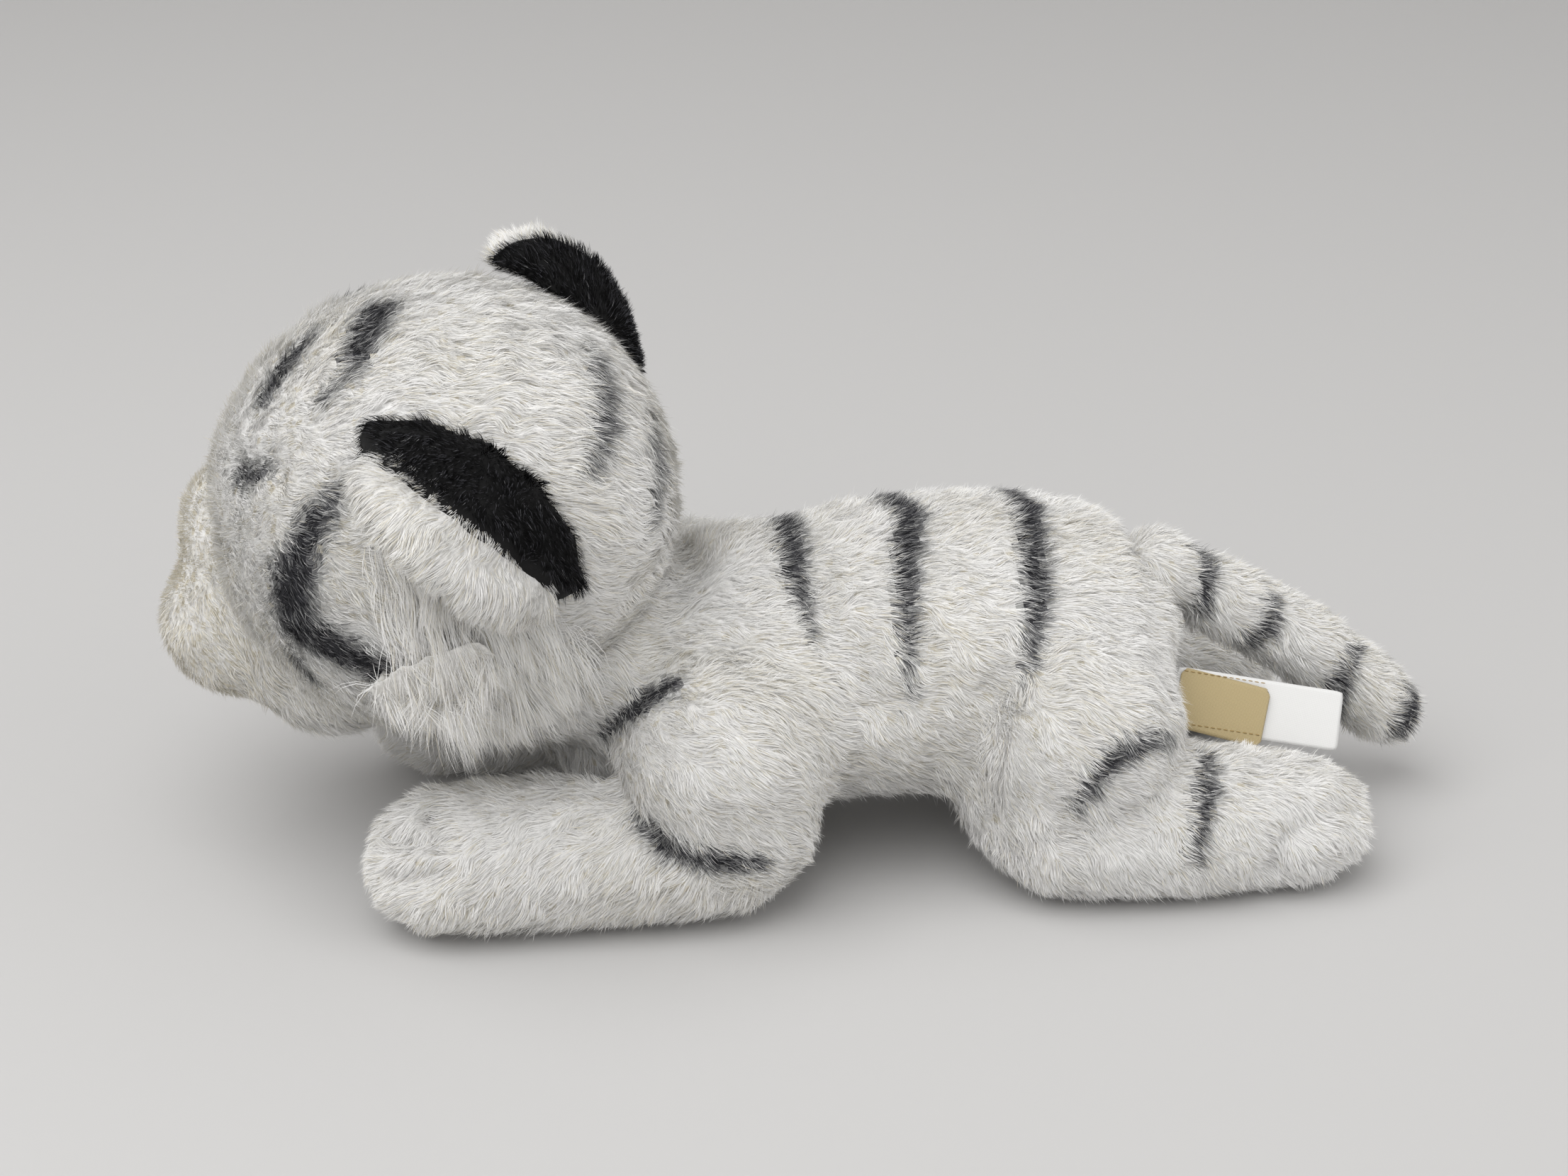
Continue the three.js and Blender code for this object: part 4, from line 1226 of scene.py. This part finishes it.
def mouth_thread():
    lines = []
    for marks in MOUTH_LINES:
        marks = np.array(marks, float)
        steps = np.linspace(0, len(marks) - 1, 16)
        whole = np.minimum(steps.astype(int), len(marks) - 2)
        smooth = [mixed(marks[i], marks[i + 1], step - i) for i, step in zip(whole, steps)]
        lines.append([on_face(*mark) for mark in smooth])
    thread = speckled(material("mouth_thread", (0.03, 0.03, 0.032), 0.7), (0.06, 0.06, 0.062),
                      2500, 0.4, 0.1 * MM)
    made = tube("mouth_stitching", lines, 0.55 * MM, thread)
    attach(made, "head")


for word in ("left", "right"):
    eye_button(word)
nose_pad()
mouth_thread()

# Stage and light


def add_stage():
    """A pale floor that sweeps up into the backdrop."""
    floor_depth = 1.1
    half_width = 8.0
    bend = 0.5
    profile = [(-8.0, 0.0), (floor_depth, 0.0)]
    for step in range(1, 17):
        angle = math.pi / 2 * step / 16
        profile.append((floor_depth + bend * math.sin(angle), bend * (1 - math.cos(angle))))
    profile.append((floor_depth + bend, 2.5))
    vertices = [(x, y, z) for y, z in profile for x in (-half_width, half_width)]
    faces = [(2 * i, 2 * i + 1, 2 * i + 3, 2 * i + 2) for i in range(len(profile) - 1)]
    paper = material("backdrop_paper", (0.56, 0.555, 0.55), 0.95)
    sweep = mesh_object("backdrop", vertices, faces, [paper])


def add_area_light(name, place, size, power):
    data = bpy.data.lights.new(name, "AREA")
    data.size = size
    data.energy = power
    linked(name, data).matrix_world = Matrix.Translation(Vector(place)) @ (
        (Vector(AIM) - Vector(place)).to_track_quat("-Z", "Y").to_matrix().to_4x4()
    )


def add_lights():
    world = bpy.data.worlds.new("studio")
    bpy.context.scene.world = world
    world.use_nodes = True
    world.node_tree.nodes["Background"].inputs["Color"].default_value = (1.0, 0.99, 0.98, 1)
    world.node_tree.nodes["Background"].inputs["Strength"].default_value = 0.66
    add_area_light("key", (-0.5, -0.5, 1.35), 1.5, 17.5)
    add_area_light("fill", (1.1, -0.7, 0.8), 1.0, 2)


add_camera()
add_stage()
add_lights()
bpy.context.scene.view_settings.view_transform = "Standard"
